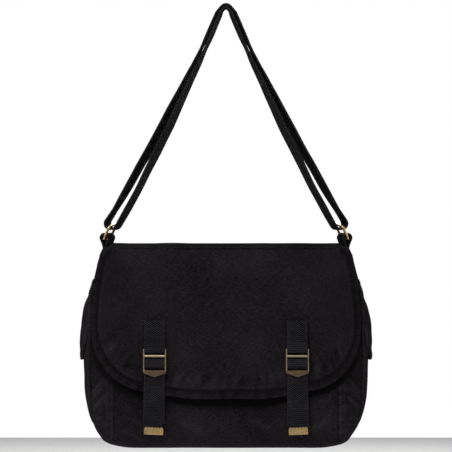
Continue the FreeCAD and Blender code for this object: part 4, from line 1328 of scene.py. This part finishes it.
class BAG_OT_body(Operator):
    """Add the sewn body and the facing inside its mouth"""
    bl_idname = "bag.body"
    bl_label = "Body"

    def execute(self, context):
        build_body_shell(context.scene.messenger_bag.canvas)
        build_mouth_facing()
        return {"FINISHED"}


class BAG_OT_flap(Operator):
    """Add the flap's cloth and the binding round its edge"""
    bl_idname = "bag.flap"
    bl_label = "Flap"

    def execute(self, context):
        build_flap_cloth()
        build_flap_back()
        build_flap_binding()
        return {"FINISHED"}


class BAG_OT_side_pockets(Operator):
    """Add the pockets on both gussets with their lids"""
    bl_idname = "bag.side_pockets"
    bl_label = "Side pockets"

    def execute(self, context):
        for side, label in SIDES:
            build_side_pocket(side, label)
            build_pocket_lid(side, label)
            build_lid_hem(side, label)
        return {"FINISHED"}


class BAG_OT_shoulder_strap(Operator):
    """Add the shoulder strap and the tabs that hold its rings"""
    bl_idname = "bag.shoulder_strap"
    bl_label = "Shoulder strap"

    def execute(self, context):
        build_shoulder_strap()
        for side, label in SIDES:
            build_ring_tab(side, label)
        return {"FINISHED"}


class BAG_OT_closures(Operator):
    """Add the two closure tabs and straps"""
    bl_idname = "bag.closures"
    bl_label = "Closures"

    def execute(self, context):
        for side, label in SIDES:
            build_closure_tab(side, label)
            build_closure_strap(side, label)
        return {"FINISHED"}


class BAG_OT_brass(Operator):
    """Add the buckles and strap ends, and plate the rings and studs"""
    bl_idname = "bag.brass"
    bl_label = "Brass"

    def execute(self, context):
        for side, label in SIDES:
            finish_brass(label)
            build_buckle(side, label)
            build_strap_tip(side, label)
        return {"FINISHED"}


class BAG_OT_stitching(Operator):
    """Sew every seam, hem and tab"""
    bl_idname = "bag.stitching"
    bl_label = "Stitching"

    def execute(self, context):
        stitching = context.scene.messenger_bag.stitching
        sew_body(stitching)
        sew_flap(stitching)
        sew_flap_back(stitching)
        for side, label in SIDES:
            sew_lid(stitching, side, label)
        return {"FINISHED"}


class BAG_OT_stage(Operator):
    """Set up the camera, lamps, floor and backdrop"""
    bl_idname = "bag.stage"
    bl_label = "Stage"

    def execute(self, context):
        build_stage(context.scene.messenger_bag.studio)
        return {"FINISHED"}


STEPS = (BAG_OT_finishes, BAG_OT_body, BAG_OT_flap, BAG_OT_side_pockets, BAG_OT_shoulder_strap,
         BAG_OT_closures, BAG_OT_brass, BAG_OT_stitching, BAG_OT_stage)


class BAG_PT_sidebar(Panel):
    """The bag's settings and the operators that build it, in order"""
    bl_label = "Messenger Bag"
    bl_idname = "BAG_PT_sidebar"
    bl_space_type = "VIEW_3D"
    bl_region_type = "UI"
    bl_category = "Bag"

    def draw(self, context):
        settings = context.scene.messenger_bag
        for group in (settings.canvas, settings.stitching, settings.studio):
            column = self.layout.column(align=True)
            for name in group.__annotations__:
                column.prop(group, name)
        for step in STEPS:
            self.layout.operator(step.bl_idname)


CLASSES = (BagCanvasSettings, BagStitchingSettings, BagStudioSettings, MessengerBagSettings,
           *STEPS, BAG_PT_sidebar)


def register():
    for item in CLASSES:
        bpy.utils.register_class(item)
    bpy.types.Scene.messenger_bag = PointerProperty(type=MessengerBagSettings)


def unregister():
    del bpy.types.Scene.messenger_bag
    for item in reversed(CLASSES):
        bpy.utils.unregister_class(item)


def main():
    """Build everything in order."""
    register()
    for step in STEPS:
        group, name = step.bl_idname.split(".")
        getattr(getattr(bpy.ops, group), name)()


if __name__ == "__main__":
    main()
